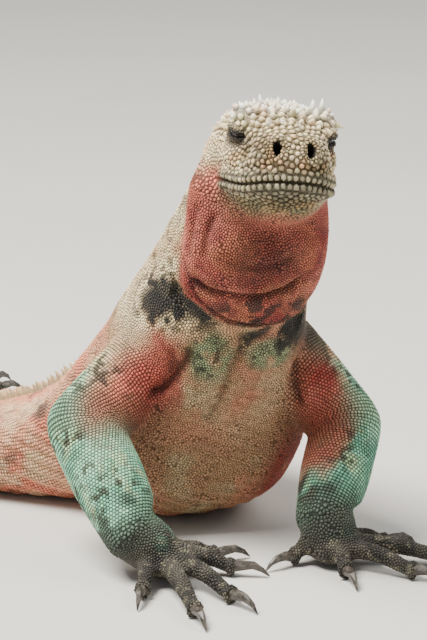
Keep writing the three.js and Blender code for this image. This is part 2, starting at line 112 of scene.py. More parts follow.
def cloud(points, size, key=0):
    """Smooth random values from 0 to 1, in patches about size across."""
    grid = np.asarray(points) / size + 1000 + key * 37.7
    cell = np.floor(grid).astype(np.int64)
    f = grid - cell
    f = f * f * (3 - 2 * f)
    total = np.zeros(len(grid))
    for corner in range(8):
        step = np.array([(corner >> k) & 1 for k in range(3)])
        c = cell + step
        h = (c[:, 0] * 73856093) ^ (c[:, 1] * 19349663) ^ (c[:, 2] * 83492791) ^ (key * 2654435)
        h = (h * 1103515245 + 12345) & 0x7FFFFFFF
        h = ((h >> 13) ^ h) * 5915587277 & 0x7FFFFFFF
        weight = np.prod(np.where(step, f, 1 - f), axis=1)
        total += weight * (h / 0x7FFFFFFF)
    return total


def clouds(points, size, key=0):
    """Three sizes of cloud in one, from 0 to 1."""
    parts = [cloud(points, size / 2**k, key + k) * 0.5**k for k in range(3)]
    return sum(parts) / 1.75


def patches(points, size, key, low, high):
    """1 on cloudy patches about size across and 0 between them, with soft edges."""
    return soft(clouds(points, size, key), low, high)


def bell(x, wide):
    """1 where x is 0, falling away smoothly on both sides."""
    return np.exp(-((x / wide) ** 2))


def colour(r, g, b):
    """A colour as the eye names it, 0 to 255, turned into the linear light that Blender works in."""
    c = np.array([r, g, b]) / 255
    return np.where(c < 0.04045, c / 12.92, ((c + 0.055) / 1.055) ** 2.4)


def rows(points):
    """Lengths of rows of vectors, kept as a column."""
    return np.linalg.norm(points, axis=-1, keepdims=True)


def unit(vectors):
    """The same directions, 1 long."""
    return vectors / np.maximum(rows(vectors), 1e-6)


print("cloud test", cloud(np.array([[1.0, 2, 3], [40, 5, 6]]), 5).round(3))

# %% [markdown]
# The head has a frame of its own: its origin between the jaw joints, -Y to the snout and +Z up. It is
# the same one that the solids were built in, so the lids, nostrils and mouth can be placed by their
# sizes on a straight head, and turned with it.

# %% Frame of the head
HEAD_AT = (50.5, -130, 156.5)
HEAD_TURN = {"Z": -7, "X": -12.5, "Y": 6}
EYE = {"at": (14.6, -26, 10), "radius": 5.2, "facing": 36, "slope": 15, "half": 5.6}
NOSTRIL = {"at": (6.4, -46.3, 4), "wide": 1.75, "high": 2.9}
MOUTH = {"front": -49.6, "corner": -17, "level": -8, "dip": 1.6}

head_frame = Matrix.Translation(HEAD_AT)
for axis, angle in HEAD_TURN.items():
    head_frame = head_frame @ Matrix.Rotation(math.radians(angle), 4, axis)
head_inverse = np.array(head_frame.inverted())
head_matrix = np.array(head_frame)


def to_head(points):
    """Points in millimetres from the model's frame to the head's own."""
    return points @ head_inverse[:3, :3].T + head_inverse[:3, 3]


def from_head(points):
    return np.asarray(points, float) @ head_matrix[:3, :3].T + head_matrix[:3, 3]


def turned(direction):
    """A direction of the head in the model's frame."""
    return from_head([direction])[0] - from_head([[0, 0, 0]])[0]


def mirrored(p):
    """Points of the head, all brought to its left side."""
    return np.column_stack([np.abs(p[:, 0]), p[:, 1:]])


def mouth_level(p):
    """Height of the line of the mouth beside a point of the head, with its slight wave."""
    far = np.clip((p[:, 1] - MOUTH["front"]) / (MOUTH["corner"] - MOUTH["front"]), 0, 1) ** (1 / 1.7)
    return MOUTH["level"] - MOUTH["dip"] * np.sin(np.pi * far) ** 2


def lid_slit(p):
    """Along and across the closed lids: 0 across is the slit, and 1 or -1 along are its corners."""
    q = mirrored(p) - EYE["at"]
    turn, tilt = math.radians(EYE["facing"]), math.radians(EYE["slope"])
    back = q[:, 0] * math.sin(turn) + q[:, 1] * math.cos(turn)
    along = (back * math.cos(tilt) + q[:, 2] * math.sin(tilt)) / EYE["half"]
    across = q[:, 2] * math.cos(tilt) - back * math.sin(tilt) + 0.4 + 0.9 * np.clip(1 - along**2, 0, 1)
    outward = q[:, 0] * math.cos(turn) - q[:, 1] * math.sin(turn)
    return along, across, np.linalg.norm(q, axis=1), outward


print("snout in the model's frame", from_head([[0, -50, -8]]).round(1))

# %% [markdown]
# The skin starts from the solids of flesh. They are blown up by a hair so that the gaps between them
# close, and a voxel remesh turns them into one even surface. Smoothing then takes away the facets and the
# steps at the joints. The coarse spines are lowered first, because finer ones replace them. Sculpting by
# hand would give the same, but a remesh keeps every size that the solids have.

# %% One skin from the solids of flesh
VOXEL = 1.2
GROW = 0.22
SOCKET_FILL = 0.45
PEAK = {"least": 1.0, "share": 0.35}
TRUNK = ("chest", "belly", "hips")
TAIL = ("tail_root", "tail_upper", "tail_middle", "tail_lower", "tail_tip")
SPINED = ("head", "neck", *TRUNK, *TAIL)


def read(items, key, wide=3, kind=float):
    """One measure of every point, edge or corner of a mesh, as rows."""
    values = np.empty(len(items) * wide, kind)
    items.foreach_get(key, values)
    return values.reshape(-1, wide)


def points_of(mesh):
    return read(mesh.vertices, "co") / MM


def edges_of(mesh):
    return read(mesh.edges, "vertices", 2, int)


def is_flesh(name):
    return not name.startswith(("claw_", "eye_"))


def middle_of(points, edges):
    """The middle of each point's neighbours."""
    a, b = edges.T
    n = len(points)
    sums = [np.bincount(a, c[b], n) + np.bincount(b, c[a], n) for c in points.T]
    count = np.bincount(edges.ravel(), minlength=n)
    return np.column_stack(sums) / np.maximum(count, 1)[:, None]


def without_spines(points, edges):
    """Lowers each peak, which stands above all its neighbours, to the middle of them."""
    out = points - middle_of(points, edges)
    tall = rows(out)[:, 0]
    a, b = np.concatenate([edges, edges[:, ::-1]]).T
    drop = np.sum((points[a] - points[b]) * out[a], axis=1) / np.maximum(tall[a], 1e-6)
    least = np.full(len(points), 1e9)
    np.minimum.at(least, a, drop)
    peak = (tall > PEAK["least"]) & (least > PEAK["share"] * tall)
    return points - out * peak[:, None]


def welded(mesh):
    """Points, normals, edges and faces of a mesh with its split corners joined again."""
    p = points_of(mesh)
    _, first, same = np.unique(np.round(p, 2), axis=0, return_index=True, return_inverse=True)
    same = same.ravel()
    normals = np.zeros((len(first), 3))
    np.add.at(normals, same, read(mesh.vertices, "normal"))
    edges = np.unique(np.sort(same[edges_of(mesh)], axis=1), axis=0)
    faces = [tuple(same[i] for i in polygon.vertices) for polygon in mesh.polygons]
    return p[first], unit(normals), edges, [f for f in faces if len(set(f)) == len(f)]


def gather_flesh():
    """All flesh as one list of points and faces, with the node that each face belongs to."""
    points, faces, owner, names = [], [], [], []
    start = 0
    for name, node in nodes.items():
        if not is_flesh(name):
            continue
        place, normals, edges, corners = welded(node.data)
        if name in SPINED:
            place = without_spines(place, edges)
        points.append(place + normals * GROW)
        faces += [tuple(i + start for i in face) for face in corners]
        owner += [len(names)] * len(corners)
        names.append(name)
        start += len(place)
    return np.vstack(points), faces, np.array(owner), names


flesh_points, flesh_faces, flesh_owner, flesh_names = gather_flesh()
flesh_tree = BVHTree.FromPolygons([Vector(p) for p in flesh_points], flesh_faces)


def new_object(name, points, faces):
    mesh = bpy.data.meshes.new(name)
    mesh.from_pydata((np.asarray(points) * MM).tolist(), [], faces)
    mesh.update()
    made = bpy.data.objects.new(name, mesh)
    scene.collection.objects.link(made)
    return made


def apply_modifiers(made):
    graph = bpy.context.evaluated_depsgraph_get()
    old, made.data = made.data, bpy.data.meshes.new_from_object(made.evaluated_get(graph))
    made.modifiers.clear()
    bpy.data.meshes.remove(old)


def filled_sockets():
    """A ball in each eye socket, so that the lids have something behind them while they are remeshed."""
    points, faces = [], []
    for side in (-1, 1):
        bm = bmesh.new()
        bmesh.ops.create_uvsphere(bm, u_segments=24, v_segments=14, radius=EYE["radius"] + SOCKET_FILL)
        centre = from_head([[side * EYE["at"][0], EYE["at"][1], EYE["at"][2]]])[0]
        start = len(flesh_points) + len(points)
        points += [np.array(v.co) + centre for v in bm.verts]
        faces += [tuple(v.index + start for v in f.verts) for f in bm.faces]
        bm.free()
    return points, faces


ball_points, ball_faces = filled_sockets()
skin = new_object("skin", np.vstack([flesh_points, ball_points]), flesh_faces + ball_faces)
remesh = skin.modifiers.new("remesh", "REMESH")
remesh.mode = "VOXEL"
remesh.voxel_size = VOXEL * MM
apply_modifiers(skin)
print("skin", len(skin.data.vertices), "points", len(skin.data.polygons), "faces")

# %% [markdown]
# Which node is each point of the skin nearest to? The answer says where the head ends and an arm begins,
# and so which scales and which colours belong there.

# %% Regions of the body
FEET = ("hand_right", "hand_left", "foot_right", "foot_left")
CLAW_NEAR, CLAW_FAR = 1.5, 3.5


def index_of(*names):
    return [flesh_names.index(n) for n in names]


def nearest_node(points):
    """The solid nearest each point, by its place in the list of names."""
    return np.array([flesh_owner[flesh_tree.find_nearest(Vector(p))[2]] for p in points])


def within(*names):
    """Which points of the skin lie on these solids."""
    return np.isin(skin_node, index_of(*names))


def relax(values, edges, strength, times):
    """Moves each point towards the middle of its neighbours, by its own strength."""
    for _ in range(times):
        values = values + (middle_of(values, edges) - values) * strength
    return values


def tree_of(points):
    """A tree that finds the nearest of many points."""
    tree = KDTree(len(points))
    for i, p in enumerate(points):
        tree.insert(p, i)
    tree.balance()
    return tree


claw_points = [points_of(node.data) for name, node in nodes.items() if name.startswith("claw_")]
claw_tree = tree_of(np.vstack(claw_points))


def by_claws(points):
    """1 where a toe meets its claw and 0 a few millimetres off."""
    off = np.full(len(points), CLAW_FAR)
    for i in np.flatnonzero(within(*FEET)):
        off[i] = claw_tree.find(points[i])[2]
    return soft(off, CLAW_FAR, CLAW_NEAR)


skin_points, skin_edges = points_of(skin.data), edges_of(skin.data)
skin_node = nearest_node(skin_points)
on_crown = within("head") & (to_head(skin_points)[:, 2] > 4)
strength = np.where(within(*FEET), 0.22, 0.5) * (1 - 0.9 * by_claws(skin_points))
skin_points = relax(skin_points, skin_edges, strength[:, None], 14)
skin_points = relax(skin_points, skin_edges, np.where(on_crown, 0.5, 0)[:, None], 16)
print("feet", int(within(*FEET).sum()), "crown", int(on_crown.sum()))

# %% [markdown]
# The line of the spine serves twice: it carries the crest, and the rows of scales run round it. Each limb
# has a line too, for its rows. A line is a few places joined by a smooth curve.

# %% Lines through the body
SPINE = [
    (49, -120, 146), (44.6, -116, 122), (41, -108, 99), (38.8, -94, 77), (39, -76, 60), (29, -55, 45),
    (14, -35, 34), (-6, -19, 26), (-28, -5, 21), (-52, 8, 18.5), (-76, 21, 17.5), (-99, 37, 16.5),
    (-119, 58, 15.5), (-148, 98, 14.5), (-168, 146, 13.5), (-175, 198, 12), (-170, 250, 10.5),
    (-155, 300, 9), (-130, 346, 7.5), (-98, 386, 6), (-62, 418, 4.6), (-36, 438, 3.4), (-22, 448, 2.6),
]
LIMBS = {
    "arm_right": [(19, -99, 76), (-18, -108, 51), (-9, -147, 18)],
    "arm_left": [(66, -97, 72), (87, -124, 46), (68, -151, 18)],
    "leg_right": [(-78, 18, 20), (-102, -28, 20), (-139, -8, 11)],
    "leg_left": [(-62, 40, 18), (-22, 66, 16), (-42, 92, 11)],
}
LIMB_NODES = {
    "arm_right": ("upper_arm_right", "forearm_right"),
    "arm_left": ("upper_arm_left", "forearm_left"),
    "leg_right": ("thigh_right", "shank_right"),
    "leg_left": ("thigh_left", "shank_left"),
}


def resampled(line, places):
    """Points of a line at the distances along it that places() makes from its length."""
    run = np.concatenate([[0], np.cumsum(rows(np.diff(line, axis=0))[:, 0])])
    at = places(run[-1])
    return np.column_stack([np.interp(at, run, line[:, k]) for k in range(3)])


def smooth_line(points, step=1.0):
    """A curve through the points, with a point every step millimetres."""
    p = np.array(points, float)
    p = np.vstack([2 * p[0] - p[1], p, 2 * p[-1] - p[-2]])
    dense = []
    for a, b, c, d in zip(p, p[1:], p[2:], p[3:]):
        for s in np.linspace(0, 1, 24, endpoint=False):
            bend = (2 * a - 5 * b + 4 * c - d) * s**2 + (3 * b - a - 3 * c + d) * s**3
            dense.append(0.5 * (2 * b + (c - a) * s + bend))
    dense.append(p[-2])
    return resampled(np.array(dense), lambda length: np.arange(0, length, step))


spine = smooth_line(SPINE)
limb_lines = {name: smooth_line(points) for name, points in LIMBS.items()}


def nearest_on(line, points):
    """For each point: how far along the line its nearest place is, and how far off."""
    best, where = np.full(len(points), 1e9), np.zeros(len(points))
    for i, q in enumerate(line):
        d = np.linalg.norm(points - q, axis=1)
        closer = d < best
        best[closer] = d[closer]
        where[closer] = i
    return where, best


print("spine", len(spine), "mm; arm", len(limb_lines["arm_right"]), "mm")

# %% [markdown]
# Now the skin gets what the solids only hint at: the creases of the throat and the armpits, the wrinkles
# of the belly, the line of the mouth, the nostrils and the lids. Each is a small push in or out along the
# normal. Faces near the eyes, mouth and nostrils are split first so that they can hold it.

# %% Fine faces on the face
FINE_WITHIN = {"eye": 8.6, "nostril": 4.6, "mouth": 2.2}


def refine_face():
    """Splits the faces near the lids, nostrils and mouth."""
    p = to_head(points_of(skin.data))
    to_eye = lid_slit(p)[2]
    to_nostril = rows(mirrored(p) - NOSTRIL["at"])[:, 0]
    lips = (np.abs(p[:, 2] - mouth_level(p)) < FINE_WITHIN["mouth"]) & (p[:, 1] < MOUTH["corner"] + 2)
    close = (to_eye < FINE_WITHIN["eye"]) | (to_nostril < FINE_WITHIN["nostril"]) | lips
    near = within("head", "neck") & close
    bm = bmesh.new()
    bm.from_mesh(skin.data)
    chosen = [e for e in bm.edges if near[e.verts[0].index] and near[e.verts[1].index]]
    bmesh.ops.subdivide_edges(bm, edges=chosen, cuts=2, use_grid_fill=True)
    bmesh.ops.triangulate(bm, faces=[f for f in bm.faces if len(f.verts) > 4])
    bm.to_mesh(skin.data)
    bm.free()
    return int(near.sum())


def set_points(mesh, points):
    mesh.vertices.foreach_set("co", (points * MM).ravel())
    mesh.update()


set_points(skin.data, skin_points)
print("refined", refine_face(), "points, now", len(skin.data.vertices))
skin_points, skin_edges = points_of(skin.data), edges_of(skin.data)
skin_node = nearest_node(skin_points)
near_face = within("head", "neck") & (to_head(skin_points)[:, 1] < 12)
skin_points = relax(skin_points, skin_edges, np.where(near_face, 0.35, 0)[:, None], 3)

# %% Where the folds and the forms of the face are
POUCH_EDGE = [
    (14, -135, 124), (14, -140, 115), (17, -141, 107), (24, -142, 101), (31, -143, 96.5), (42, -143, 94),
    (57, -140, 94), (66, -133, 100), (70, -126, 108),
]
POUCH_LOW = ((10, 14, 17, 24, 31, 42, 57, 66, 74), (126, 114, 107, 101, 96.5, 94, 94, 100, 112))
POUCH_CROSS = [
    (14, -141, 117), (20, -147, 112), (31, -151, 109), (42, -151, 108), (53, -151, 111), (60, -150, 116),
]
# Each fold says how deep it is and which line it follows.
THROAT_FOLDS = [
    (3.0, POUCH_CROSS),
    (3.6, POUCH_EDGE),
    (0.9, [(22, -148, 126), (32, -152, 122), (44, -153, 121), (56, -152, 125)]),
    (1.5, [(25, -147, 144), (20, -148, 133), (18, -149, 121)]),
    (1.2, [(20, -141, 147), (15, -142, 134), (13.5, -142, 122)]),
]
SHOULDER_FOLDS = [
    (3.0, [(20, -128, 87), (19, -127, 80), (16, -125, 74), (12, -121, 68), (6, -119, 62)]),
    (1.5, [(13, -124, 86), (14, -124, 78), (12, -122, 71)]),
    (2.2, [(69, -120, 76), (66, -121, 66), (67, -124, 54)]),
    (1.5, [(42, -134, 90), (40, -132, 82), (36, -129, 73), (34, -126, 63), (28, -121, 50)]),
]
THROAT_WIDE, SHOULDER_WIDE = 1.9, 2.4
# Each form of the face says how far it stands out, where it is and how large.
FACE_FORMS = {
    "brow": (1.1, (15.8, -26, 17.0), (5, 9, 3.0)),
    "hollow before the eye": (-1.7, (17.5, -38, 5), (4.5, 6, 5)),
    "nose": (0.9, (6.4, -46, 4), (4.2, 5, 4.6)),
    "bridge of the nose": (0.8, (0, -44, 9), (4, 8, 3)),
    "jowl": (1.1, (24, -10, -11), (6, 8, 6)),
    "temple": (-0.8, (24, -18, 6), (5, 5, 6)),
}
COAT = {"head": 0.95, "hand": 0.5, "foot": 0.5, "tail": 0.7}
COAT_ELSEWHERE = 0.62
SNOUT_FROM, FACE_ABOVE = -38, 120
print("folds", len(THROAT_FOLDS + SHOULDER_FOLDS), "forms of the face", len(FACE_FORMS))

# %% Push the skin in and out
def fold_depth(points, folds, wide):
    """How deep some folds are at each point. They run out at both ends."""
    total = 0
    for deep, line in folds:
        where, off = nearest_on(smooth_line(line, 0.7), points)
        ends = np.minimum(where, where.max() - where)
        total = total + deep * bell(off, wide) * soft(ends, 0, 7)
    return total


def coat_depth():
    """How deep the skin lies inside the solids, so that its scales come up to their surface."""
    deep = np.array([COAT.get(n.split("_")[0], COAT_ELSEWHERE) for n in flesh_names])
    return relax(deep[skin_node][:, None], skin_edges, 0.5, 20)[:, 0]


def on_lids(p):
    """1 on the lids, under the brow, and 0 away from the eye."""
    _, across, depth, outward = lid_slit(p)
    return soft(depth, 8.6, 6.8) * soft(across, 3.2, 1.9) * (outward > 1)


def egg(p, centre, size):
    """A soft egg in the head's frame, the same on both sides of it."""
    q = (mirrored(p) - centre) / size
    return np.exp(-np.sum(q * q, axis=1))


def nostril_ring(points):
    """1 on the rim of a nostril, 0 at its middle and large away from the snout."""
    p = to_head(points)
    beside = (np.abs(p[:, 0]) - NOSTRIL["at"][0]) / NOSTRIL["wide"]
    ring = np.hypot(beside, (p[:, 2] - NOSTRIL["at"][2]) / NOSTRIL["high"])
    return np.where((p[:, 1] < SNOUT_FROM) & (points[:, 2] > FACE_ABOVE), ring, 9)


def face_relief(p, closed):
    """The lips on both sides of the line of the mouth, and the forms of the face above it."""
    line = p[:, 2] - mouth_level(p)
    out = closed * (0.7 * bell(np.abs(line) - 2.3, 1.4) - 1.3 * bell(line, 0.6))
    out -= 1.1 * bell(line - 6, 1.3) * closed * soft(np.abs(p[:, 0]), 4, 10)
    return out, sum(high * egg(p, centre, size) for high, centre, size in FACE_FORMS.values())


def sculpt(points):
    """How far each point of the skin moves out along its normal, in millimetres."""
    p = to_head(points)
    head = within("head", "neck") & (p[:, 1] < 8)
    lips, forms = face_relief(p, soft(p[:, 1], MOUTH["corner"] + 2, MOUTH["corner"] - 4) * head)
    out = -coat_depth() - GROW + lips + forms * head
    out -= fold_depth(points, THROAT_FOLDS, THROAT_WIDE)
    out -= fold_depth(points, SHOULDER_FOLDS, SHOULDER_WIDE)
    # A nostril is a hole with a rim.
    ring = nostril_ring(points)
    out += 0.9 * bell(ring - 1.5, 0.5) - 3.6 * soft(ring, 1.15, 0.7)
    # Wrinkles run across the belly and the lower chest.
    wrinkle = np.sin(points[:, 2] * 1.25 + points[:, 0] * 0.5 + 7 * cloud(points, 26, 3))
    low = within("neck", "chest", "belly") * soft(points[:, 2], 78, 60) * soft(p[:, 1], 0, 20)
    out += 0.42 * wrinkle * low * soft(cloud(points, 24, 4), 0.2, 0.6) * soft(points[:, 0], 66, 50)
    # Below its edge the pouch curls back under.
    roll = np.interp(points[:, 0], *POUCH_LOW) - points[:, 2]
    out -= 3.0 * soft(roll, 0, 4) * soft(roll, 16, 8) * (points[:, 1] < -124) * within("neck")
    # Loose skin is never quite even.
    uneven = 0.9 * (clouds(points, 17, 5) - 0.5) * within("neck", *TRUNK)
    return out + uneven + 0.95 * by_claws(points)


def normals_from(points):
    set_points(skin.data, points)
    return read(skin.data.vertices, "normal")


skin_normals = normals_from(skin_points)
push = sculpt(skin_points)
# Painted shade: how much the skin and its scales are darkened along the creases of the throat and the
# armpits.
crease_shade = fold_depth(skin_points, THROAT_FOLDS + SHOULDER_FOLDS, THROAT_WIDE)
crease_shade = np.clip(crease_shade / 1.8, 0, 1)[:, None]
skin_points = skin_points + skin_normals * push[:, None]
print("pushed from", round(float(push.min()), 2), "to", round(float(push.max()), 2), "mm")

# %% Lids
def shape_lids(points):
    """Rounds both lids over the eye and opens the slit between them down to the eye itself."""
    p = to_head(points)
    side = np.where(p[:, 0] < 0, -1, 1)
    centre = np.column_stack([side * EYE["at"][0], np.tile(EYE["at"][1:], (len(p), 1))])
    away = p - centre
    along, across, depth, outward = lid_slit(p)
    beside = (outward > 1) & (depth < 9.5)
    rim = EYE["radius"] + 0.55 + 0.65 * bell(np.abs(across) - 1.3, 0.8)
    cover = soft(depth, 9.2, 7.2) * beside * soft(np.hypot(along, across / 5), 1.35, 0.8)
    length = depth + (rim - depth) * cover
    gap = 0.8 * np.sqrt(np.clip(1 - along**2, 0, 1))
    opened = soft(np.abs(across), gap + 0.35, gap) * (np.abs(along) < 1) * beside
    length = length + (EYE["radius"] - 0.9 - length) * opened
    return from_head(centre + away / np.maximum(depth, 1e-6)[:, None] * length[:, None]), opened


skin_points, slit_mask = shape_lids(skin_points)
skin_points[:, 2] = np.maximum(skin_points[:, 2], 0.0)
skin_normals = normals_from(skin_points)
print("points in the slits between the lids", int((slit_mask > 0.5).sum()))

# %% [markdown]
# The colours are worked out once, by one function of the place on the body, and both the skin and the
# scales ask it. So the markings run through from one to the other. Each patch is a soft mask of a real
# place, such as the front of the upper arm, broken up by clouds.

# %% Colours and places of the markings
CREAM, BONE_AND_TOP_LIGHT, IVORY = colour(234, 215, 172), colour(253, 245, 220), colour(226, 210, 162)
FACE, OLIVE, SHADE = colour(204, 188, 152), colour(136, 122, 84), colour(96, 84, 64)
OCHRE, APRICOT, STRAW = colour(138, 112, 70), colour(206, 146, 96), colour(200, 184, 142)
LIP, LOWER_LIP, EYE_SKIN_AND_SHADE = colour(158, 152, 124), colour(112, 104, 84), colour(88, 80, 68)
CHIN, MOSS, DARK = colour(136, 112, 72), colour(96, 88, 58), colour(38, 36, 33)
RED, SALMON, WINE = colour(160, 58, 48), colour(204, 112, 92), colour(138, 56, 54)
RUST, THROAT_SHADE_BROWN, UMBER = colour(196, 120, 84), colour(104, 60, 44), colour(124, 84, 62)
PEACH, TAN, CLAY = colour(214, 158, 118), colour(186, 146, 108), colour(178, 122, 92)
ROSE, SAND = colour(220, 132, 104), colour(228, 176, 138)
MINT, GREEN, SAGE = colour(150, 206, 172), colour(100, 164, 136), colour(128, 150, 112)
YELLOW, ASH_HIGHLIGHT = colour(204, 190, 132), colour(150, 142, 118)
SLATE, CHARCOAL = colour(76, 72, 63), colour(46, 44, 39)
NAPE_SPECK, ARM_SPECK = colour(96, 80, 56), colour(60, 50, 38)

SAGE_PATCHES = (((28, -131, 80), (11, 11, 13)), ((54, -129, 79), (13, 11, 8)))
RED_PATCHES = (
    ((9, -120, 77), (13, 12, 15)), ((12, -120, 64), (9, 9, 11)), ((74, -125, 62), (10, 12, 20)),
)
SHOULDER_PATCHES = (
    ((13, -122, 105), (10, 14, 8)), ((19, -134, 100), (10, 12, 7)), ((10, -115, 100), (8, 12, 7)),
    ((75, -112, 84), (13, 16, 9)), ((66, -127, 88), (11, 12, 9)), ((46, -137, 88), (12, 10, 5)),
)
# Which way the inner side of each limb faces.
INNER = {
    "arm_right": (0.75, -0.6, 0.1), "arm_left": (-0.95, -0.2, 0.1),
    "leg_right": (0.5, -0.5, 0), "leg_left": (0, 1, 0),
}
# Where along a limb the green starts, and how much sooner it starts on the outer side.
GREEN_FROM = {"arm_left": (0.78, 0.62)}
GREEN_ELSEWHERE = (0.5, 0.16)
print("patches", len(SAGE_PATCHES + RED_PATCHES + SHOULDER_PATCHES))

# %% Colours of each region
def blob(points, centre, size):
    """1 at the centre of a soft egg and 0 outside it."""
    return soft(rows((points - centre) / size)[:, 0], 1.15, 0.55)


def mottled(c, points, *layers):
    """Patches over a colour. Each layer says its colour, its share and what patches() asks for."""
    for tone, share, *where in layers:
        c = mix(c, tone, share * patches(points, *where))
    return c


def head_colours(points):
    p = to_head(points)
    beside, back, height = np.abs(p[:, 0]), p[:, 1], p[:, 2]
    patch = clouds(points, 8, 11)
    line = height - mouth_level(p)
    c = mix(FACE, OLIVE, 0.55 * soft(patch, 0.42, 0.7))
    c = mix(c, SHADE, 0.7 * patches(points, 9, 13, 0.48, 0.66) * soft(height, 13, 6))
    c = mottled(c, p, (OCHRE, 0.7, 5, 14, 0.4, 0.6))
    c = mix(c, CREAM, np.maximum(soft(height, 4, 15), 0.75 * soft(beside, 15, 21) * soft(height, -6, 0)))
    # The crown is pale of itself, and its top is painted brighter still, as painted light from above.
    c = mix(c, BONE_AND_TOP_LIGHT, soft(height, 13, 20) * soft(back, -42, -26))
    c = mottled(c, points, (APRICOT, 0.4, 7, 12, 0.55, 0.72))
    c = mix(c, CREAM, 0.6 * soft(beside, 4, 2) * soft(np.abs(height - 3), 6, 3) * (back < -40))
    c = mix(c, EYE_SKIN_AND_SHADE, 0.85 * on_lids(p))
    along, across, _, _ = lid_slit(p)
    # Painted shade: the scales along the slit between the lids are darkened nearly to black.
    c = mix(c, DARK * 0.5, soft(np.abs(across), 2.1, 1.2) * soft(np.abs(along), 1.3, 1.0) * on_lids(p))
    # Painted shade: the hollow before the eye is darkened.
    c = mix(c, EYE_SKIN_AND_SHADE * 0.8, 0.85 * egg(p, (18, -35.5, 5.5), (4.0, 5.0, 4.0)))
    lips = soft(np.abs(line), 5.5, 3.5) * soft(back, MOUTH["corner"] + 2, MOUTH["corner"] - 3)
    c = mix(c, LIP, 0.75 * lips)
    c = mix(c, LOWER_LIP, 0.5 * lips * soft(line, 0, -1))
    chin = soft(line, -3, -7) * soft(back, -14, -26)
    c = mix(c, mix(CHIN, MOSS, soft(patch, 0.4, 0.6)), 0.85 * chin)
    jowl = soft(back + 0.5 * (height + 8), -24, -14) * soft(height, 1, -8)
    under = soft(height + 0.25 * beside, -17, -23)
    red = mix(SALMON, RED, soft(patch, 0.3, 0.7))
    return mix(c, red, np.maximum(jowl, under))


def pouch(points):
    """1 on the throat pouch and 0 behind and below it."""
    shape = np.hypot((points[:, 0] - 43.5) / 31, (points[:, 1] + 139) / 19)
    return soft(shape, 1.22, 1.02) * soft(points[:, 2] - np.interp(points[:, 0], *POUCH_LOW), -1.5, 1)


def chest_colours(points):
    c = mix(PEACH, TAN, patches(points, 15, 31, 0.25, 0.6))
    c = mottled(c, points, (SALMON, 0.4, 20, 32, 0.45, 0.68), (STRAW, 0.6, 11, 36, 0.45, 0.7))
    c = mix(c, RED, 0.9 * blob(points, (68, -100, 26), (18, 24, 26)) * patches(points, 9, 39, 0.15, 0.5))
    for centre, size in SAGE_PATCHES:
        here = blob(points, centre, size)
        c = mix(c, SAGE, 0.85 * here * patches(points, 6, 33, 0.2, 0.5))
        c = mix(c, DARK, 0.75 * here * patches(points, 3, 37, 0.58, 0.68))
    return c


def neck_colours(points):
    patch = clouds(points, 12, 21)
    red = mix(RED, SALMON, soft(patch, 0.3, 0.62))
    red = mottled(red, points, (RUST, 0.6, 13, 22, 0.48, 0.64), (WINE, 0.6, 6, 24, 0.48, 0.66))
    # Painted shade: the middle of the throat, under the chin, is darkened towards brown.
    middle = np.hypot((points[:, 0] - 42) / 17, (points[:, 2] - 124) / 15)
    red = mix(red, THROAT_SHADE_BROWN, 0.6 * soft(middle, 1.2, 0.4))
    low = blob(points, (44, -147, 101), (30, 18, 9)) * patches(points, 4.5, 23, 0.5, 0.6)
    red = mix(red, DARK, 0.8 * low)
    nape = mix(CREAM, TAN, soft(patch, 0.3, 0.7))
    specks = patches(points, 3.4, 25, 0.52, 0.62) * patches(points, 20, 26, 0.3, 0.6)
    nape = mix(nape, NAPE_SPECK, 0.75 * specks)
    rest = mix(nape, chest_colours(points), soft(points[:, 2] + 0.6 * (points[:, 1] + 118), 94, 80))
    # Painted shade: the red of the pouch is darkened to 0.88 of itself.
    return mix(rest, red * 0.88, pouch(points))


def trunk_colours(points):
    patch = clouds(points, 16, 31)
    back = soft(points[:, 2] - np.interp(points[:, 1], [-110, -60, 0, 60], [92, 60, 26, 22]), 0, 12)
    side = mix(ROSE, SAND, soft(patch, 0.4, 0.65))
    side = mottled(side, points, (CREAM, 0.5, 12, 38, 0.5, 0.7))
    side = mix(side, mix(CREAM, SALMON, soft(patch, 0.4, 0.6)), 0.8 * back)
    side = mottled(side, points, (SLATE, 0.55, 9, 35, 0.64, 0.74))
    side = mix(side, GREEN, 0.3 * patches(points, 26, 34, 0.58, 0.72) * soft(points[:, 1], -40, 0))
    return mix(chest_colours(points), side, soft(points[:, 1], -100, -78))


def shoulder_patches(points, c):
    """The black patches over both shoulders, which run from the neck on to the arms."""
    off_pouch = 1 - pouch(points)
    flesh = mix(RED, SALMON, patches(points, 10, 43, 0.3, 0.6))
    for centre, size in RED_PATCHES:
        c = mix(c, flesh, 0.85 * blob(points, centre, size) * off_pouch)
    # Painted shade: a small dark spot in the right armpit, where the arm meets the chest.
    c = mix(c, DARK, 0.9 * blob(points, (11, -118, 58), (3.4, 4, 3)))
    c = mix(c, SLATE, 0.8 * blob(points, (-22, -56, 43), (6, 6, 5)))
    rough = patches(points, 8, 41, 0.04, 0.26)
    specks = patches(points, 3.2, 42, 0.52, 0.62)
    for share, wider, broken in ((0.95, 1, rough), (0.85, 1.7, specks)):
        for centre, size in SHOULDER_PATCHES:
            c = mix(c, DARK, share * blob(points, centre, np.array(size) * wider) * broken * off_pouch)
    return c


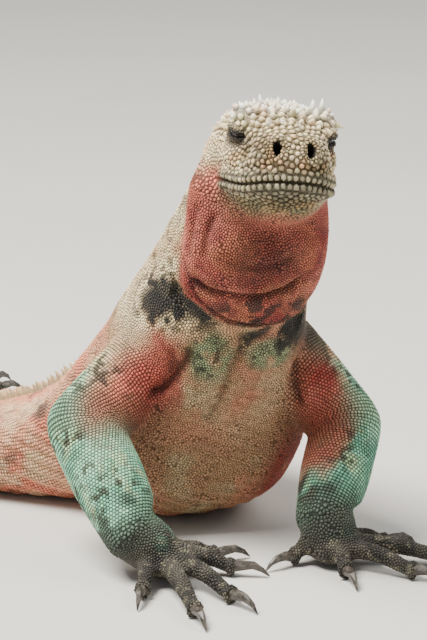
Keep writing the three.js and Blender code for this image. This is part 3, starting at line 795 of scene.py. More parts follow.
def limb_colours(points, name):
    line = limb_lines[name]
    where, _ = nearest_on(line, points)
    along = where / len(line)
    inner = soft(unit(points - line[where.astype(int)]) @ INNER[name], -0.25, 0.55)
    patch = clouds(points, 9, 51)
    green = mottled(mix(MINT, GREEN, soft(patch, 0.35, 0.7)), points, (YELLOW, 0.35, 7, 58, 0.55, 0.7))
    outer = mix(IVORY, MINT, soft(along + 0.5 * patch, 0.32, 0.68))
    outer = mix(outer, SALMON, 0.6 * patches(points, 10, 53, 0.45, 0.65) * soft(along, 0.4, 0.1))
    flesh = mix(RED, SALMON, patches(points, 12, 52, 0.3, 0.65))
    flesh = mottled(flesh, points, (CLAY, 0.6, 8, 59, 0.45, 0.65))
    flesh = mix(flesh, UMBER, 0.6 * soft(along, 0.3, 0.55) if name == "arm_right" else 0.5)
    reach, lead = GREEN_FROM.get(name, GREEN_ELSEWHERE)
    turn = soft(along + lead * (1 - inner) + 0.3 * (patch - 0.5), reach, reach + 0.2)
    c = mix(mix(outer, flesh, inner), green, turn)
    fine = soft(clouds(points, 3, 55) + 0.04 * soft(along, 0.6, 0.4), 0.54, 0.62)
    coarse = soft(clouds(points, 13, 56) + 0.3 * soft(along, 0.55, 0.3), 0.42, 0.6)
    c = mix(c, ARM_SPECK, 0.85 * fine * coarse)
    wrist = soft(along + 0.25 * (cloud(points, 4, 57) - 0.5), 0.84, 0.98)
    return mix(c, CHARCOAL, 0.9 * wrist)


def foot_colours(points):
    c = mix(CHARCOAL, SLATE, soft(cloud(points, 5, 61), 0.3, 0.8))
    c = mix(c, GREEN, 0.4 * soft(points[:, 2], 11, 22) * soft(cloud(points, 4, 62), 0.4, 0.7))
    # Painted highlights: pale flecks on the dark scales of the hands and feet.
    return mix(c, ASH_HIGHLIGHT, 0.35 * soft(cloud(points, 2.2, 63), 0.62, 0.8))


def tail_colours(points):
    patch = clouds(points, 18, 71)
    dark = soft(points[:, 1], 50, 210) + 0.5 * soft(patch, 0.5, 0.65)
    c = mix(mix(SALMON, RED, patch), mix(CHARCOAL, SLATE, patch), np.clip(dark, 0, 0.95))
    return mottled(c, points, (GREEN, 0.3, 12, 72, 0.6, 0.75))


def region_colours(points, node):
    """The colour of each point from the region that it is in."""
    c = trunk_colours(points)

    def fill(names, paint, *more):
        here = np.isin(node, index_of(*names))
        if here.any():
            c[here] = paint(points[here], *more)

    fill(["head"], head_colours)
    fill(["neck"], neck_colours)
    fill(FEET, foot_colours)
    fill(TAIL, tail_colours)
    for limb, names in LIMB_NODES.items():
        fill(names, limb_colours, limb)
    return shoulder_patches(points, c)


print("share of the pouch at a place on the throat", pouch(np.array([[42.0, -145, 120]])).round(2))

# %% Colour the skin
# How strongly painted shade darkens the creases.
CREASE_SHADE = 0.62

skin_colours = region_colours(skin_points, skin_node)
border = np.zeros((len(skin_points), 1))
crossing = skin_node[skin_edges[:, 0]] != skin_node[skin_edges[:, 1]]
border[np.unique(skin_edges[crossing])] = 1
near_border = soft(relax(border, skin_edges, 0.5, 60)[:, 0], 0.0, 0.035)
skin_colours = relax(skin_colours, skin_edges, 0.5 * near_border[:, None], 60)
skin_colours = skin_colours * (1 - CREASE_SHADE * crease_shade)
# Painted shade: the skin in the slits between the lids is darkened nearly to black.
skin_colours = mix(skin_colours, EYE_SKIN_AND_SHADE * 0.2, 0.9 * slit_mask)
# Painted shade: the inside of each nostril is darkened nearly to black.
skin_colours = mix(skin_colours, EYE_SKIN_AND_SHADE * 0.12, soft(nostril_ring(skin_points), 1.25, 0.95))
print("colours from", skin_colours.min(0).round(2), "to", skin_colours.max(0).round(2))

# %% [markdown]
# Materials come from nodes. Their sums are easier to read as sums, so a small class wraps a socket and
# lets +, - and * make the Math nodes. Any other node comes from one method that takes its type, its
# settings and what goes into its sockets.

# %% Shader sums
class Sum:
    """A socket of a node, with sums that make nodes."""

    def __init__(self, paint, socket):
        self.paint, self.socket = paint, socket

    def is_number(self):
        return self.socket.type == "VALUE"

    def combine(self, operation, a, b):
        numbers = all(s.is_number() if isinstance(s, Sum) else not isinstance(s, tuple) for s in (a, b))
        if not numbers:
            a, b = ((s, s, s) if isinstance(s, (int, float)) else s for s in (a, b))
        kind = "ShaderNodeMath" if numbers else "ShaderNodeVectorMath"
        return self.paint.add(kind, {"operation": operation}, {0: a, 1: b})

    def __add__(self, other):
        return self.combine("ADD", self, other)

    def __radd__(self, other):
        return self.combine("ADD", other, self)

    def __sub__(self, other):
        return self.combine("SUBTRACT", self, other)

    def __rsub__(self, other):
        return self.combine("SUBTRACT", other, self)

    def __mul__(self, other):
        return self.combine("MULTIPLY", self, other)

    def __rmul__(self, other):
        return self.combine("MULTIPLY", other, self)

    def mix(self, other, share):
        """This colour where share is 0 and the other where it is 1."""
        return self.paint.two_tones(self, other, share)

    def between(self, low, high, start=0.0, end=1.0):
        """0 below low, 1 above high and smooth between, stretched from start to end."""
        sockets = {"Value": self, "From Min": low, "From Max": high, "To Min": start, "To Max": end}
        return self.paint.add("ShaderNodeMapRange", {"interpolation_type": "SMOOTHSTEP"}, sockets)


class Paint:
    """A material, its shader and its nodes."""

    def __init__(self, name, **values):
        self.material = bpy.data.materials.new(name)
        self.material.use_nodes = True
        self.nodes = self.material.node_tree.nodes
        self.shader = self.nodes["Principled BSDF"]
        for socket, value in values.items():
            self.shader.inputs[socket.replace("_", " ")].default_value = value

    def add(self, kind, settings=None, sockets=None, output=0):
        """Makes a node: settings first, then its sockets from values or other sums."""
        made = self.nodes.new(kind)
        for key, value in (settings or {}).items():
            setattr(made, key, value)
        for key, value in (sockets or {}).items():
            if isinstance(value, Sum):
                self.material.node_tree.links.new(value.socket, made.inputs[key])
            elif value is not None:
                made.inputs[key].default_value = value
        return Sum(self, made.outputs[output])

    def two_tones(self, a, b, share):
        """Colour a where share is 0 and b where it is 1."""
        return self.add("ShaderNodeMix", {"data_type": "RGBA"}, {"Factor": share, 6: a, 7: b}, 2)

    def noise(self, scale, detail=3, roughness=0.6):
        sockets = {"Vector": self.place(), "Scale": scale, "Detail": detail, "Roughness": roughness}
        return self.add("ShaderNodeTexNoise", None, sockets)

    def cells(self, scale):
        sockets = {"Vector": self.place(), "Scale": scale}
        return self.add("ShaderNodeTexVoronoi", {"feature": "DISTANCE_TO_EDGE"}, sockets)

    def place(self):
        """The place on the object, in metres."""
        return self.add("ShaderNodeTexCoord", output=3)

    def attribute(self, name):
        return self.add("ShaderNodeVertexColor", {"layer_name": name})

    def bump(self, height, strength, distance):
        sockets = {"Height": height, "Strength": strength, "Distance": distance}
        return self.add("ShaderNodeBump", None, sockets)

    def into(self, socket, value):
        self.material.node_tree.links.new(value.socket, self.shader.inputs[socket])

    def cover(self, made):
        made.data.materials.clear()
        made.data.materials.append(self.material)


print("sums ready")

# %% [markdown]
# The skin under the scales is painted darker than they are, as painted shade in the gaps between them,
# and it is a little shiny where it is bare. Fine cells in the bump stand for the grains that are too
# small to model.

# %% Skin and scale materials
# SKIN_SHADE is the painted shade of the skin between the scales. GRAIN_SHADE darkens its grains at
# random.
GRAIN_SHADE, SKIN_SHADE = 0.45, 0.45

skin_paint = Paint("skin_between_scales", Specular_IOR_Level=0.3, Subsurface_Weight=0.0)
marks, grain, grains = skin_paint.attribute("marks"), skin_paint.noise(900, 4), skin_paint.cells(950)
skin_paint.into("Base Color", marks.mix(marks * GRAIN_SHADE, grain.between(0.35, 0.65)))
skin_paint.into("Roughness", grain.between(0.3, 0.7, 0.55, 0.8))
skin_paint.into("Normal", skin_paint.bump(grains.between(0, 0.35) + grain * 0.3, 0.55, 0.0004))

scale_paint = Paint("scale_horn", Specular_IOR_Level=0.42, Coat_Roughness=0.35)
marks = scale_paint.attribute("marks")
wear, fine = scale_paint.noise(700, 5, 0.65), scale_paint.noise(2600, 2)
scale_paint.into("Base Color", (marks * 0.72).mix(marks * 1.16, wear.between(0.32, 0.66)))
scale_paint.into("Roughness", wear.between(0.3, 0.7, 0.42, 0.68))
scale_paint.into("Normal", scale_paint.bump(wear * 0.6 + fine * 0.5, 0.5, 0.0003))
print("materials", [m.name for m in bpy.data.materials])

# %% Paint the skin
def write_colours(mesh, colours):
    layer = mesh.color_attributes.new("marks", "FLOAT_COLOR", "POINT")
    opaque = np.column_stack([np.clip(colours, 0, 1), np.ones(len(colours))])
    layer.data.foreach_set("color", opaque.ravel())


def smooth_shade(mesh):
    mesh.polygons.foreach_set("use_smooth", np.ones(len(mesh.polygons), bool))
    mesh.update()


def fit(made, slot):
    """Says which body a piece rides on: the root. Its slot is not used."""
    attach(made, "root")


set_points(skin.data, skin_points)
# Painted shade: the skin between the scales is darkened below the colours of its scales.
write_colours(skin.data, skin_colours * SKIN_SHADE)
smooth_shade(skin.data)
skin_paint.cover(skin)
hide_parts(*flesh_names)
fit(skin, "trunk_skin")
print("skin stands for", len(flesh_names), "solids")

# %% [markdown]
# A real coat of scales is a tight paving. Each scale grows from one spot, and where two of them meet is
# half way between their spots. So the spots come first, evenly spread over the skin or set in rows round
# a limb, and then each scale is cut from the half-way lines to its neighbours. That gives polygons with
# thin gaps, of the size that each region needs, with no scale that cuts through another.

# %% Where scales grow
GROUPS = {
    "head": ("head",), "throat": ("neck",), "trunk": TRUNK, "tail": TAIL, **LIMB_NODES, "feet": FEET,
}
EVEN_SPACING = {"arm": 1.5, "leg": 1.7, "feet": 1.25}

triangles = []
for polygon in skin.data.polygons:
    v = polygon.vertices
    triangles += [(v[0], v[k], v[k + 1]) for k in range(1, len(v) - 1)]
triangles = np.array(triangles)
skin_tree = BVHTree.FromPolygons([Vector(p) for p in skin_points], triangles.tolist())
corner = skin_points[triangles]
triangle_area = rows(np.cross(corner[:, 1] - corner[:, 0], corner[:, 2] - corner[:, 0]))[:, 0] / 2
triangle_node = skin_node[triangles[:, 0]]
print("skin area", round(triangle_area.sum() / 100), "square cm")


def head_spacing(points):
    """Fine on the lids, by the nostrils and under the chin, and coarse on the crown."""
    p = to_head(points)
    beside, above = np.abs(p[:, 0]), p[:, 2] - NOSTRIL["at"][2]
    front = soft(p[:, 1], -22, -40)
    size = (1.7 + 0.8 * front + 1.5 * soft(p[:, 2], 8, 13)) * (0.82 + 0.4 * cloud(points, 6, 81))
    size += 0.9 * soft(beside, 4.5, 3) * soft(np.abs(above), 7, 4) * front
    size += (0.8 - size) * on_lids(p)
    by_nostril = 1.3 + 1.3 * soft(np.hypot(beside - NOSTRIL["at"][0], above), 3.5, 6)
    size = np.where(p[:, 1] < SNOUT_FROM, np.minimum(size, by_nostril), size)
    return size + (1.15 - size) * soft(p[:, 2] + 0.3 * (p[:, 1] + 40), -12, -22)


def spacing_at(points, group):
    """Distance between the spots of neighbouring scales, in millimetres."""
    y, z = points[:, 1], points[:, 2]
    if group == "head":
        return head_spacing(points)
    if group == "throat":
        return 1.3 - 0.2 * pouch(points) - 0.25 * soft(z, 94, 84)
    if group == "trunk":
        return 1.15 + 0.65 * soft(y, -90, -10) + 0.8 * soft(z, 5, 1)
    if group == "tail":
        return 2.0 + 0.5 * soft(y, 60, 200) - 1.0 * soft(y, 300, 450)
    return np.full(len(points), EVEN_SPACING[kind_of(group)])


def kind_of(group):
    """arm for arm_left and arm_right, and so on."""
    return group.split("_")[0]


def scatter(group):
    """Spots thrown over a region's skin, more where the scales are smaller."""
    picks = np.flatnonzero(np.isin(triangle_node, index_of(*GROUPS[group])))
    middle = corner[picks].mean(axis=1)
    expected = triangle_area[picks] / (0.9 * spacing_at(middle, group) ** 2)
    count = int(expected.sum())
    chosen = rng.choice(picks, count, p=expected / expected.sum())
    a, b = np.sqrt(rng.random(count)), rng.random(count)
    weights = np.column_stack([1 - a, a * (1 - b), a * b])
    return np.einsum("ij,ijk->ik", weights, corner[chosen])


def onto_skin(points):
    """The nearest places on the skin, and the triangles that they are in."""
    hits = [skin_tree.find_nearest(Vector(p)) for p in points]
    return np.array([tuple(hit[0]) for hit in hits]), np.array([hit[2] for hit in hits])


def neighbours(points, count):
    """Indices of the nearest spots of each spot, itself left out."""
    tree = tree_of(points)
    found = np.empty((len(points), count), int)
    for i, p in enumerate(points):
        near = [k for _, k, _ in tree.find_n(p, count + 1) if k != i][:count]
        found[i] = near + [near[-1]] * (count - len(near))
    return found


def spread_out(points, spacing, times, still=0):
    """Pushes spots that are too close apart, and back on to the skin. The first few stay put."""
    for _ in range(times):
        near = neighbours(points, 6)
        away = points[:, None] - points[near]
        distance = np.maximum(rows(away), 1e-6)
        want = 0.5 * (spacing[:, None] + spacing[near])[..., None]
        push = np.clip(1.12 - distance / want, 0, 1)
        moved = points + (away / distance * push * want * 0.34).sum(axis=1)
        moved[:still] = points[:still]
        points, _ = onto_skin(moved)
    return points


# %% Rows of scales
def ring_hits(centre, along, allowed, reach):
    """Where rays from a place on a line, square to it, meet the skin of the allowed solids."""
    side = unit(np.cross(along, (0, 0, 1.0) if abs(along[2]) < 0.9 else (0, 1.0, 0)))
    up = np.cross(side, along)
    for turn in np.linspace(0, 2 * np.pi, 241):
        ray = side * math.cos(turn) + up * math.sin(turn)
        hit = skin_tree.ray_cast(Vector(centre), Vector(ray), reach)
        yield hit[0] if hit[0] is not None and triangle_node[hit[2]] in allowed else None


def rings(line, group, pitch, reach):
    """Spots in rows round a line, each row shifted by half a scale from the one before."""
    direction = unit(np.gradient(line, axis=0))
    allowed = set(index_of(*GROUPS[group]))
    spots, step, at = [], 0, 0.5
    while at < len(line) - 1:
        along = direction[int(at)]
        length, previous, next_at = 0.0, None, pitch * (0.5 if step % 2 else 0.0)
        for hit in ring_hits(line[int(at)] + along * (at - int(at)), along, allowed, reach):
            gap = 0.0 if None in (hit, previous) else (hit - previous).length
            if 0 < gap < 3 * pitch:
                while next_at <= length + gap:
                    spots.append(previous.lerp(hit, (next_at - length) / gap))
                    next_at += pitch * 1.04
                length += gap
            previous = hit
        step += 1
        at += pitch * 0.9
    return np.array([tuple(s) for s in spots]).reshape(-1, 3)


def fill_holes(spots, group):
    """Adds scattered spots wherever no row has reached."""
    extra = scatter(group)
    tree = tree_of(spots)
    far = np.array([tree.find(p)[2] for p in extra]) > 0.95 * spacing_at(extra, group)
    return np.vstack([spots, extra[far]])


# How far each row of the lips is above the line of the mouth, and how far apart its scales stand.
LIP_ROWS = [(1.75, 2.35), (-1.75, 2.6)]


def uneven_steps(length, pitch):
    """Places along a row of scales, some closer together than others."""
    return np.cumsum(pitch * rng.uniform(0.8, 1.2, int(length / pitch)))


def lip_spots():
    """Rows of larger scales above and below the line of the mouth, from corner to corner."""
    spots = []
    for rise, pitch in LIP_ROWS:
        trail = []
        for turn in np.radians(np.linspace(-100, 100, 321)):
            way = np.array((math.sin(turn), -math.cos(turn), 0))
            level = MOUTH["level"] + rise
            for _ in range(3):
                start = np.array([0, -16, level])
                ends = from_head([start, start + way])
                hit = skin_tree.ray_cast(Vector(ends[0]), Vector(ends[1] - ends[0]), 60)[0]
                if hit is None:
                    break
                at = to_head(np.array([hit]))
                level = mouth_level(at)[0] + rise
            if hit is not None and at[0, 1] < MOUTH["corner"] + 1:
                trail.append(np.array(hit))
        spots.append(resampled(np.array(trail), lambda length: uneven_steps(length, pitch)))
    return np.vstack(spots)


# For each line, how far apart its scales stand and how far from it the skin may be.
LIMB_ROWS = {"arm": (1.42, 34), "leg": (1.7, 30)}
ROW_LINES = {name: (line, *LIMB_ROWS[kind_of(name)]) for name, line in limb_lines.items()}
ROW_LINES.update({"trunk": (spine[120:420], 1.5, 90), "tail": (spine[330:], 2.0, 40)})


def head_spots():
    """The rows of the lips first, and scattered spots that keep clear of them. Says how many stay put."""
    here, lips = scatter("head"), lip_spots()
    apart = np.array([np.linalg.norm(lips - s, axis=1).min() for s in here])
    p = to_head(here)
    clear = (apart > 1.6) & (np.abs(p[:, 2] - mouth_level(p)) > 1.2)
    return np.vstack([lips, here[clear]]), len(lips)


def spots_of(group):
    """The spots of every scale of a region."""
    still, times = 0, 9
    if group in ROW_LINES:
        line, pitch, reach = ROW_LINES[group]
        here, times = fill_holes(rings(line, group, pitch, reach), group), 2
    elif group == "head":
        here, still = head_spots()
    else:
        here = scatter(group)
    print(group, len(here))
    return spread_out(here, spacing_at(here, group), times, still)


def bare(points):
    """Places without scales: between the lids and inside the nostrils."""
    p = to_head(points)
    along, across, depth, outward = lid_slit(p)
    slit = (depth < 9) & (outward > 1) & (np.abs(along) < 1.05) & (np.abs(across) < 1.1)
    return (slit | (nostril_ring(points) < 1.08)) & (p[:, 1] < 5) & (points[:, 2] > FACE_ABOVE)


spots = [spots_of(group) for group in GROUPS]
spot_group = np.repeat(np.arange(len(GROUPS)), [len(s) for s in spots])
spots = np.vstack(spots)
dressed = ~bare(spots)
spot_group = spot_group[dressed]
spots, spot_face = onto_skin(spots[dressed])
spot_normal = unit(skin_normals[triangles[spot_face]].mean(axis=1))
spot_node = triangle_node[spot_face]
print("scales", len(spots))

# %% Which way scales lie
HAND_FORWARD = (0, -4, 0)


def along_spine(points):
    """The place on the spine beside each point, as an index of its line, to the nearest 4."""
    return nearest_on(spine[::4], points)[0].astype(int) * 4


def lie_of(points):
    """Vectors along the body, from the head to the tail and down each limb."""
    lie = np.gradient(spine, axis=0)[along_spine(points)]
    for name, line in limb_lines.items():
        here = np.isin(spot_node, index_of(*LIMB_NODES[name]))
        where, _ = nearest_on(line, points[here])
        lie[here] = np.gradient(line, axis=0)[where.astype(int)]
    lie[spot_node == flesh_names.index("head")] = turned([0, 1, -0.2])
    for name in FEET:
        here = spot_node == flesh_names.index(name)
        lie[here] = points[here] - points[here].mean(axis=0)
        if "hand" in name:
            lie[here] += HAND_FORWARD
    return lie


def across_surface(vectors, normals):
    return unit(vectors - normals * np.sum(vectors * normals, axis=1, keepdims=True))


spot_lie = across_surface(lie_of(spots), spot_normal)
spot_side = np.cross(spot_normal, spot_lie)
print("lie of the first scale", spot_lie[0].round(2))

# %% [markdown]
# Each scale is a low block with a rim and a raised middle: rounded grains on the throat, flatter ones in
# rows on the arms, longer ones that lean back on the tail and blunt cones on the crown. A table of the
# few numbers that differ says which is which, and one function builds them all with arrays.

# %% Cut the scales from their neighbours
SIDES = 6
TURNS = np.arange(SIDES) / SIDES * 2 * np.pi
FREE_REACH = 0.78


def outlines(points, lie, side, spacing):
    """Radius of each scale in each of its directions, to the half-way lines to its neighbours."""
    offset = points[neighbours(points, 9)] - points[:, None]
    x = np.einsum("ijk,ik->ij", offset, lie)
    y = np.einsum("ijk,ik->ij", offset, side)
    length = np.maximum(x * x + y * y, 1e-9)
    reach = []
    for turn in TURNS:
        ahead = x * math.cos(turn) + y * math.sin(turn)
        half = np.where(ahead > 1e-6, length / np.maximum(2 * ahead, 1e-6), 1e9)
        reach.append(np.minimum(half.min(axis=1), spacing * FREE_REACH))
    return np.column_stack(reach)


# Rings of points below the peak, gap to the next scale, heights of rim and peak, width of the top ring,
# and how far the peak leans back.
SHAPES = {
    "head": (3, 0.14, 0.36, 0.66, 0.7, 0.1),
    "throat": (3, 0.10, 0.30, 0.46, 0.7, 0.15),
    "trunk": (2, 0.10, 0.26, 0.42, 0.66, 0.25),
    "tail": (2, 0.07, 0.22, 0.42, 0.7, 0.45),
    "arm": (3, 0.14, 0.30, 0.44, 0.76, 0.22),
    "leg": (2, 0.10, 0.28, 0.44, 0.7, 0.3),
    "feet": (2, 0.11, 0.30, 0.46, 0.72, 0.2),
}
spot_spacing = np.zeros(len(spots))
for number, group in enumerate(GROUPS):
    here = spot_group == number
    spot_spacing[here] = spacing_at(spots[here], group)
spot_reach = outlines(spots, spot_lie, spot_side, spot_spacing)
spot_size = spot_reach.mean(axis=1)
mean_radius = {g: round(float(spot_size[spot_group == n].mean()), 2) for n, g in enumerate(GROUPS)}
print("mean radius", mean_radius)

# %% Relief of the scales
def relief(points, group_numbers):
    """How tall each scale is, times the height of its kind, and how much of a cone it is."""
    tall = 1 + 0.25 * (rng.random(len(points)) - 0.5)
    head = group_numbers == 0
    p = to_head(points[head])
    crown = soft(p[:, 2], 9, 14) * soft(p[:, 1], -46, -38)
    big = rng.random(len(p)) ** 1.6
    cheek = soft(p[:, 2], 8, 2) * soft(p[:, 1], -38, -24)
    tall[head] *= (1 - 0.3 * cheek) * (1 + crown * (0.1 + 0.8 * big)) * (0.8 + 0.5 * rng.random(len(p)))
    cone = np.zeros(len(points))
    cone[head] = crown * (0.45 + 0.55 * big)
    return tall, cone


spot_tall, spot_cone = relief(spots, spot_group)
print("tallest", round(float(spot_tall.max()), 2))

# %% Colours of the scales
spot_colour = region_colours(spots, spot_node)
nearest_vertex = triangles[spot_face, 0]
edge_share = near_border[nearest_vertex][:, None]
spot_colour = spot_colour + (skin_colours[nearest_vertex] - spot_colour) * edge_share
# The same painted shade along the creases, on the scales.
spot_colour = spot_colour * (1 - CREASE_SHADE * crease_shade[nearest_vertex] * (1 - edge_share))
spot_value = 1 + np.where(spot_group == 0, 0.7, 0.44) * (rng.random(len(spots)) - 0.5)
spot_tint = 1 + 0.10 * (rng.random((len(spots), 3)) - 0.5)
spot_colour = np.clip(spot_colour * spot_value[:, None] * spot_tint, 0, 1)
print("colours", spot_colour.mean(0).round(2))


# %% Build the scales
MAP_PATCH = 0.0015
# Painted shade and highlight: the rings of each scale are darker towards its foot, as painted shade in
# the gaps between scales, and its peak is lighter, as a painted highlight.
RING_SHADING = {3: (0.12, 0.36, 1.04), 2: (0.16, 0.86)}
PEAK_HIGHLIGHT = 1.3
LIMIT = 190000
SLOTS = {"feet": "foot_skin"}


def unwrap(points):
    """A place from 0 to 1 twice over, on the skin laid flat: round the body and along it."""
    where = along_spine(points)
    out = points - spine[where]
    round_it = np.arctan2(out[:, 0] - 0.3 * out[:, 1], out[:, 2]) / (2 * np.pi) + 0.5
    return np.column_stack([round_it, where / len(spine)]) * 0.99 + 0.005


def dress(made, colours, corners, slot):
    """Gives a piece its colours, its map for the bake, its paint and its body to ride on."""
    mesh = made.data
    write_colours(mesh, colours)
    loops = read(mesh.loops, "vertex_index", 1, int)[:, 0]
    mesh.uv_layers.new(name="OFBake").data.foreach_set("uv", corners[loops].ravel())
    smooth_shade(mesh)
    scale_paint.cover(made)
    fit(made, slot)


def scale_points(picks, count, gap, rim, top, shrink, lean):
    """The rings of each scale from its foot up, and its peak."""
    size, reach = spot_size[picks][:, None], spot_reach[picks] * (1 - gap)
    centre, normal, lie, side = (a[picks] for a in (spots, spot_normal, spot_lie, spot_side))

    def ring(share, height, shift):
        x = reach * share * np.cos(TURNS) + shift * size
        y = reach * share * np.sin(TURNS)
        flat = lie[:, None] * x[..., None] + side[:, None] * y[..., None]
        return centre[:, None] + flat + normal[:, None] * (height * size)[..., None]

    tall, cone = spot_tall[picks][:, None], spot_cone[picks][:, None]
    foot = ring(1.0, -0.22 * tall, 0)
    shoulder = ring(0.97, rim * 0.55 * tall, 0)
    crown = ring(shrink * (1 - 0.34 * cone), rim * (1.25 + 0.75 * cone) * tall, lean * 0.25)
    peak = centre + normal * top * size * tall * (1.2 + 0.6 * cone) + lie * lean * size * 0.5
    levels = [foot, shoulder, crown] if count == 3 else [foot, 0.5 * (shoulder + crown)]
    return np.concatenate([*levels, peak[:, None]], axis=1)


def scale_faces(n, count):
    """The corners of the walls and of the caps of n scales."""
    loop = np.arange(SIDES)
    after = (loop + 1) % SIDES
    wall = np.column_stack([loop, after, after + SIDES, loop + SIDES])
    quads = np.vstack([wall + SIDES * k for k in range(count - 1)])
    last = (count - 1) * SIDES
    caps = np.column_stack([loop + last, after + last, np.full(SIDES, last + SIDES)])
    base = (np.arange(n) * (count * SIDES + 1))[:, None, None]
    return (quads[None] + base).reshape(-1, 4), (caps[None] + base).reshape(-1, 3)


def build_scales(name, picks, shape, slot):
    """One mesh of solid scales from the spots picked. Says how many triangles it has."""
    count = shape[0]
    points = scale_points(picks, *shape).reshape(-1, 3)
    quads, caps = scale_faces(len(picks), count)
    mesh = bpy.data.meshes.new(name)
    mesh.vertices.add(len(points))
    mesh.vertices.foreach_set("co", (points * MM).ravel())
    loops = np.concatenate([quads.ravel(), caps.ravel()])
    mesh.loops.add(len(loops))
    mesh.loops.foreach_set("vertex_index", loops)
    mesh.polygons.add(len(quads) + len(caps))
    starts = np.concatenate([np.arange(len(quads)) * 4, len(quads) * 4 + np.arange(len(caps)) * 3])
    mesh.polygons.foreach_set("loop_start", starts)
    mesh.update(calc_edges=True)
    made = bpy.data.objects.new(name, mesh)
    scene.collection.objects.link(made)
    # Painted shade at the foot of each scale and a painted highlight at its peak.
    painted_light = np.append(np.repeat(RING_SHADING[count], SIDES), PEAK_HIGHLIGHT)
    colours = spot_colour[picks][:, None] * painted_light[None, :, None]
    circle = np.column_stack([np.cos(TURNS), np.sin(TURNS)])
    local = np.concatenate([*(circle * s for s in (1.0, 0.8, 0.5)[:count]), np.zeros((1, 2))])
    corners = unwrap(spots[picks])[:, None] + local[None] * MAP_PATCH
    dress(made, colours.reshape(-1, 3), corners.reshape(-1, 2), slot)
    return 2 * len(quads) + len(caps)


total = 0
for number, group in enumerate(GROUPS):
    picks = np.flatnonzero(spot_group == number)
    order = picks[np.argsort(spots[picks, 1])]
    shape = SHAPES[kind_of(group)]
    pieces = math.ceil(len(order) * (2 * shape[0] - 1) * SIDES / LIMIT)
    slot = SLOTS.get(group, kind_of(group) + "_skin")
    for k, part in enumerate(np.array_split(order, pieces)):
        total += build_scales(f"scales_{group}_{k + 1}", part, shape, slot)
print("triangles of scales", total)

# %% [markdown]
# The eyes and the claws keep the shapes of their solids. The eyes get a dark wet gloss, and the claws the
# uneven dark grey of horn, which a cloud of noise gives without a picture.

# %% Eyes and claws
EYE_TONES = ((0.008, 0.006, 0.005, 1), (0.03, 0.018, 0.012, 1))
CLAW_TONES = ((0.022, 0.019, 0.016, 1), (0.1, 0.086, 0.07, 1))

eye_paint = Paint("eye_wet", Coat_Weight=0.12, Coat_Roughness=0.1, Specular_IOR_Level=0.25)
iris = eye_paint.noise(1400)
eye_paint.into("Base Color", eye_paint.two_tones(*EYE_TONES, iris.between(0.3, 0.7)))
eye_paint.into("Roughness", iris.between(0.3, 0.7, 0.08, 0.2))
claw_paint = Paint("claw_horn", Specular_IOR_Level=0.5)
streak = claw_paint.noise(500, 4)
claw_paint.into("Base Color", claw_paint.two_tones(*CLAW_TONES, streak.between(0.35, 0.7)))
claw_paint.into("Roughness", streak.between(0.3, 0.7, 0.28, 0.5))
claw_paint.into("Normal", claw_paint.bump(streak, 0.4, 0.0004))
for name, node in nodes.items():
    if name.startswith("eye_"):
        eye_paint.cover(node)
    if name.startswith("claw_"):
        claw_paint.cover(node)
print("eyes and claws painted")

# %% [markdown]
# Spines stand along the whole back, from the nape to the tail, in one row that leans back. Each is a
# curved cone, flat from side to side. On the crown they are short, blunt and round, and stand well apart.

# %% Spines of the crest
CREST_HEIGHTS = [
    (0.0, 4.5), (0.8, 5), (2, 7.5), (3.2, 6.5), (5.6, 5), (8.6, 4.2), (11.2, 4.6), (14, 5), (18, 3.6),
    (22, 1.4),
]
CREST_SPACING = 2.7
CREST_TONE, CROWN_TONE = colour(196, 176, 138), colour(240, 232, 210)
SEGMENTS, AROUND = 6, 8


def station_along(count):
    """Which station of the body each millimetre of the spine is at."""
    run = np.array([np.argmin(np.linalg.norm(spine - np.array(s), axis=1)) for s in SPINE])
    return np.interp(np.arange(count), run, np.arange(len(SPINE)))


def spine_solid(root, up, back, height, wide, flat, lean, blunt):
    """Points and faces of one curved spine, its root sunk in and its tip more or less blunt."""
    side = unit(np.cross(up, back))
    points, faces = [], []
    for k in range(SEGMENTS - 1):
        s = k / (SEGMENTS - 1)
        centre = root + up * height * (1.25 * s - 0.25) + back * height * lean * s**2
        girth = wide * (1 - s) ** blunt
        for t in np.arange(AROUND) / AROUND * 2 * np.pi:
            points.append(centre + back * girth * math.cos(t) + side * girth * flat * math.sin(t))
    points.append(root + up * height + back * height * lean)
    for k in range(SEGMENTS - 1):
        for j in range(AROUND):
            a, b = k * AROUND + j, k * AROUND + (j + 1) % AROUND
            faces.append((a, b, b + AROUND, a + AROUND) if k < SEGMENTS - 2 else (a, b, len(points) - 1))
    return points, faces


def build_spines(name, spines, tone, slot):
    """Joins many spines to one mesh, with a patch of map for each."""
    points, faces, colours, corners = [], [], [], []
    for root, *shape in spines:
        p, f = spine_solid(root, *shape)
        faces += [tuple(i + len(points) for i in face) for face in f]
        points += p
        # Painted shade at the root of each spine and a painted highlight towards its tip.
        colours += list(tone * np.linspace(0.6, 1.15, len(p))[:, None])
        u, v = unwrap(np.array([root]))[0]
        corners += [(u + MAP_PATCH * math.cos(i), v + MAP_PATCH * math.sin(i)) for i in range(len(p))]
    dress(new_object(name, points, faces), np.array(colours), np.array(corners), slot)
    print(name, len(spines), "spines", len(faces), "faces")


def crest_spines():
    """Along the back, from rays that come down on the spine's top."""
    direction = unit(np.gradient(spine, axis=0))
    station = station_along(len(spine))
    made, at = [], 6.0
    while at < len(spine) - 4:
        along, s = direction[int(at)], station[int(at)]
        tall = np.interp(s, *zip(*CREST_HEIGHTS)) * (0.85 + 0.3 * rng.random())
        rise = soft(s, 1.5, 4.5)
        up = np.array((0, 1 - rise, 0.1 + 0.9 * rise))
        up = unit(up - along * np.dot(up, along))
        hit = skin_tree.ray_cast(Vector(spine[int(at)] + up * 90), Vector(-up))
        if hit[0] is not None:
            made.append((np.array(hit[0]), up, along, tall, 0.36 * tall + 0.7, 0.42, 0.4, 0.75))
        at += CREST_SPACING * (0.75 + 0.25 * tall / 5)
    return made


build_spines("crest", crest_spines(), CREST_TONE, "trunk_skin")

# %% Blunt spines of the crown
CROWN_APART = 4.8


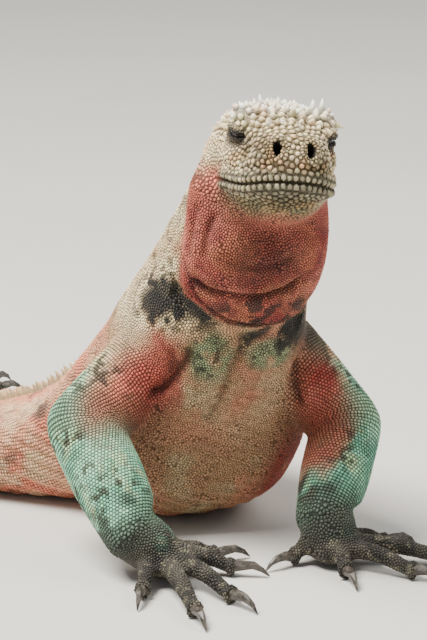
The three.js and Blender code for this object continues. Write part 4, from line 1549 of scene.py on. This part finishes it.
def crown_spines():
    """On scales of the crown, from the highest down, as long as they stand well apart."""
    head = np.flatnonzero(spot_group == 0)
    p = to_head(spots[head])
    top = head[(p[:, 2] > 13.5) & (p[:, 1] > -40) & (p[:, 1] < 16)]
    made = []
    for i in top[np.argsort(-spots[top, 2])]:
        if all(np.linalg.norm(spots[i] - root) > CROWN_APART for root, *_ in made):
            q = to_head(spots[i : i + 1])[0]
            out = unit(spot_normal[i] * 0.8 + turned([0, 0, 1]) * 0.5)
            middle = 1 - min(abs(q[0]) / 20, 1)
            tall = (2.0 + 1.0 * middle * soft(q[1], -44, -24)) * (0.75 + 0.5 * rng.random())
            back = across_surface(turned([0, 1, 0])[None], out[None])[0]
            made.append((spots[i], out, back, tall, 1.5 + 0.3 * rng.random(), 0.95, 0.12, 0.52))
    return made


build_spines("crown", crown_spines(), CROWN_TONE, "head_skin")

# %% [markdown]
# The studio is plain: a pale floor, one large soft light from above and the left, where the light of
# the photograph comes from, a weaker one from the right, and a pale sky to fill the shadows.

# %% Floor and light
def soft_light(name, energy, size, place, at=(0.03, -0.1, 0.08)):
    data = bpy.data.lights.new(name, "AREA")
    data.energy, data.size, data.color = energy, size, (1, 0.95, 0.87)
    light = bpy.data.objects.new(name, data)
    scene.collection.objects.link(light)
    light.location = place
    light.rotation_mode = "QUATERNION"
    light.rotation_quaternion = (Vector(at) - Vector(place)).to_track_quat("-Z", "Y")
    return light


FLOOR_HALF = 3000
FLOOR_TONES = ((0.60, 0.59, 0.57, 1), (0.66, 0.65, 0.63, 1))

floor_corners = [(x * FLOOR_HALF, y * FLOOR_HALF, 0) for x, y in ((-1, -1), (1, -1), (1, 1), (-1, 1))]
floor = new_object("floor", floor_corners, [(0, 1, 2, 3)])
floor_paint = Paint("pale_floor", Roughness=0.85)
floor_paint.into("Base Color", floor_paint.two_tones(*FLOOR_TONES, floor_paint.noise(6)))
floor_paint.cover(floor)
floor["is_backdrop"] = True

key_light = soft_light("key_light", 76, 0.8, (-0.6, -0.1, 1.5))
fill_light = soft_light("fill_light", 14, 1.0, (1.0, -0.4, 1.2))
world = bpy.data.worlds.new("pale_sky")
world.use_nodes = True
world.node_tree.nodes["Background"].inputs["Color"].default_value = (0.93, 0.95, 0.97, 1)
world.node_tree.nodes["Background"].inputs["Strength"].default_value = 0.42
scene.world = world
print("lights", key_light.name, fill_light.name)

# %% Sizes
bpy.context.view_layer.update()
visual_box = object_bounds()
sizes = {"cad": [list(c) for c in cad_box], "visual": [list(c) for c in visual_box]}
print("box of the solids", sizes["cad"], "and of this model", sizes["visual"])
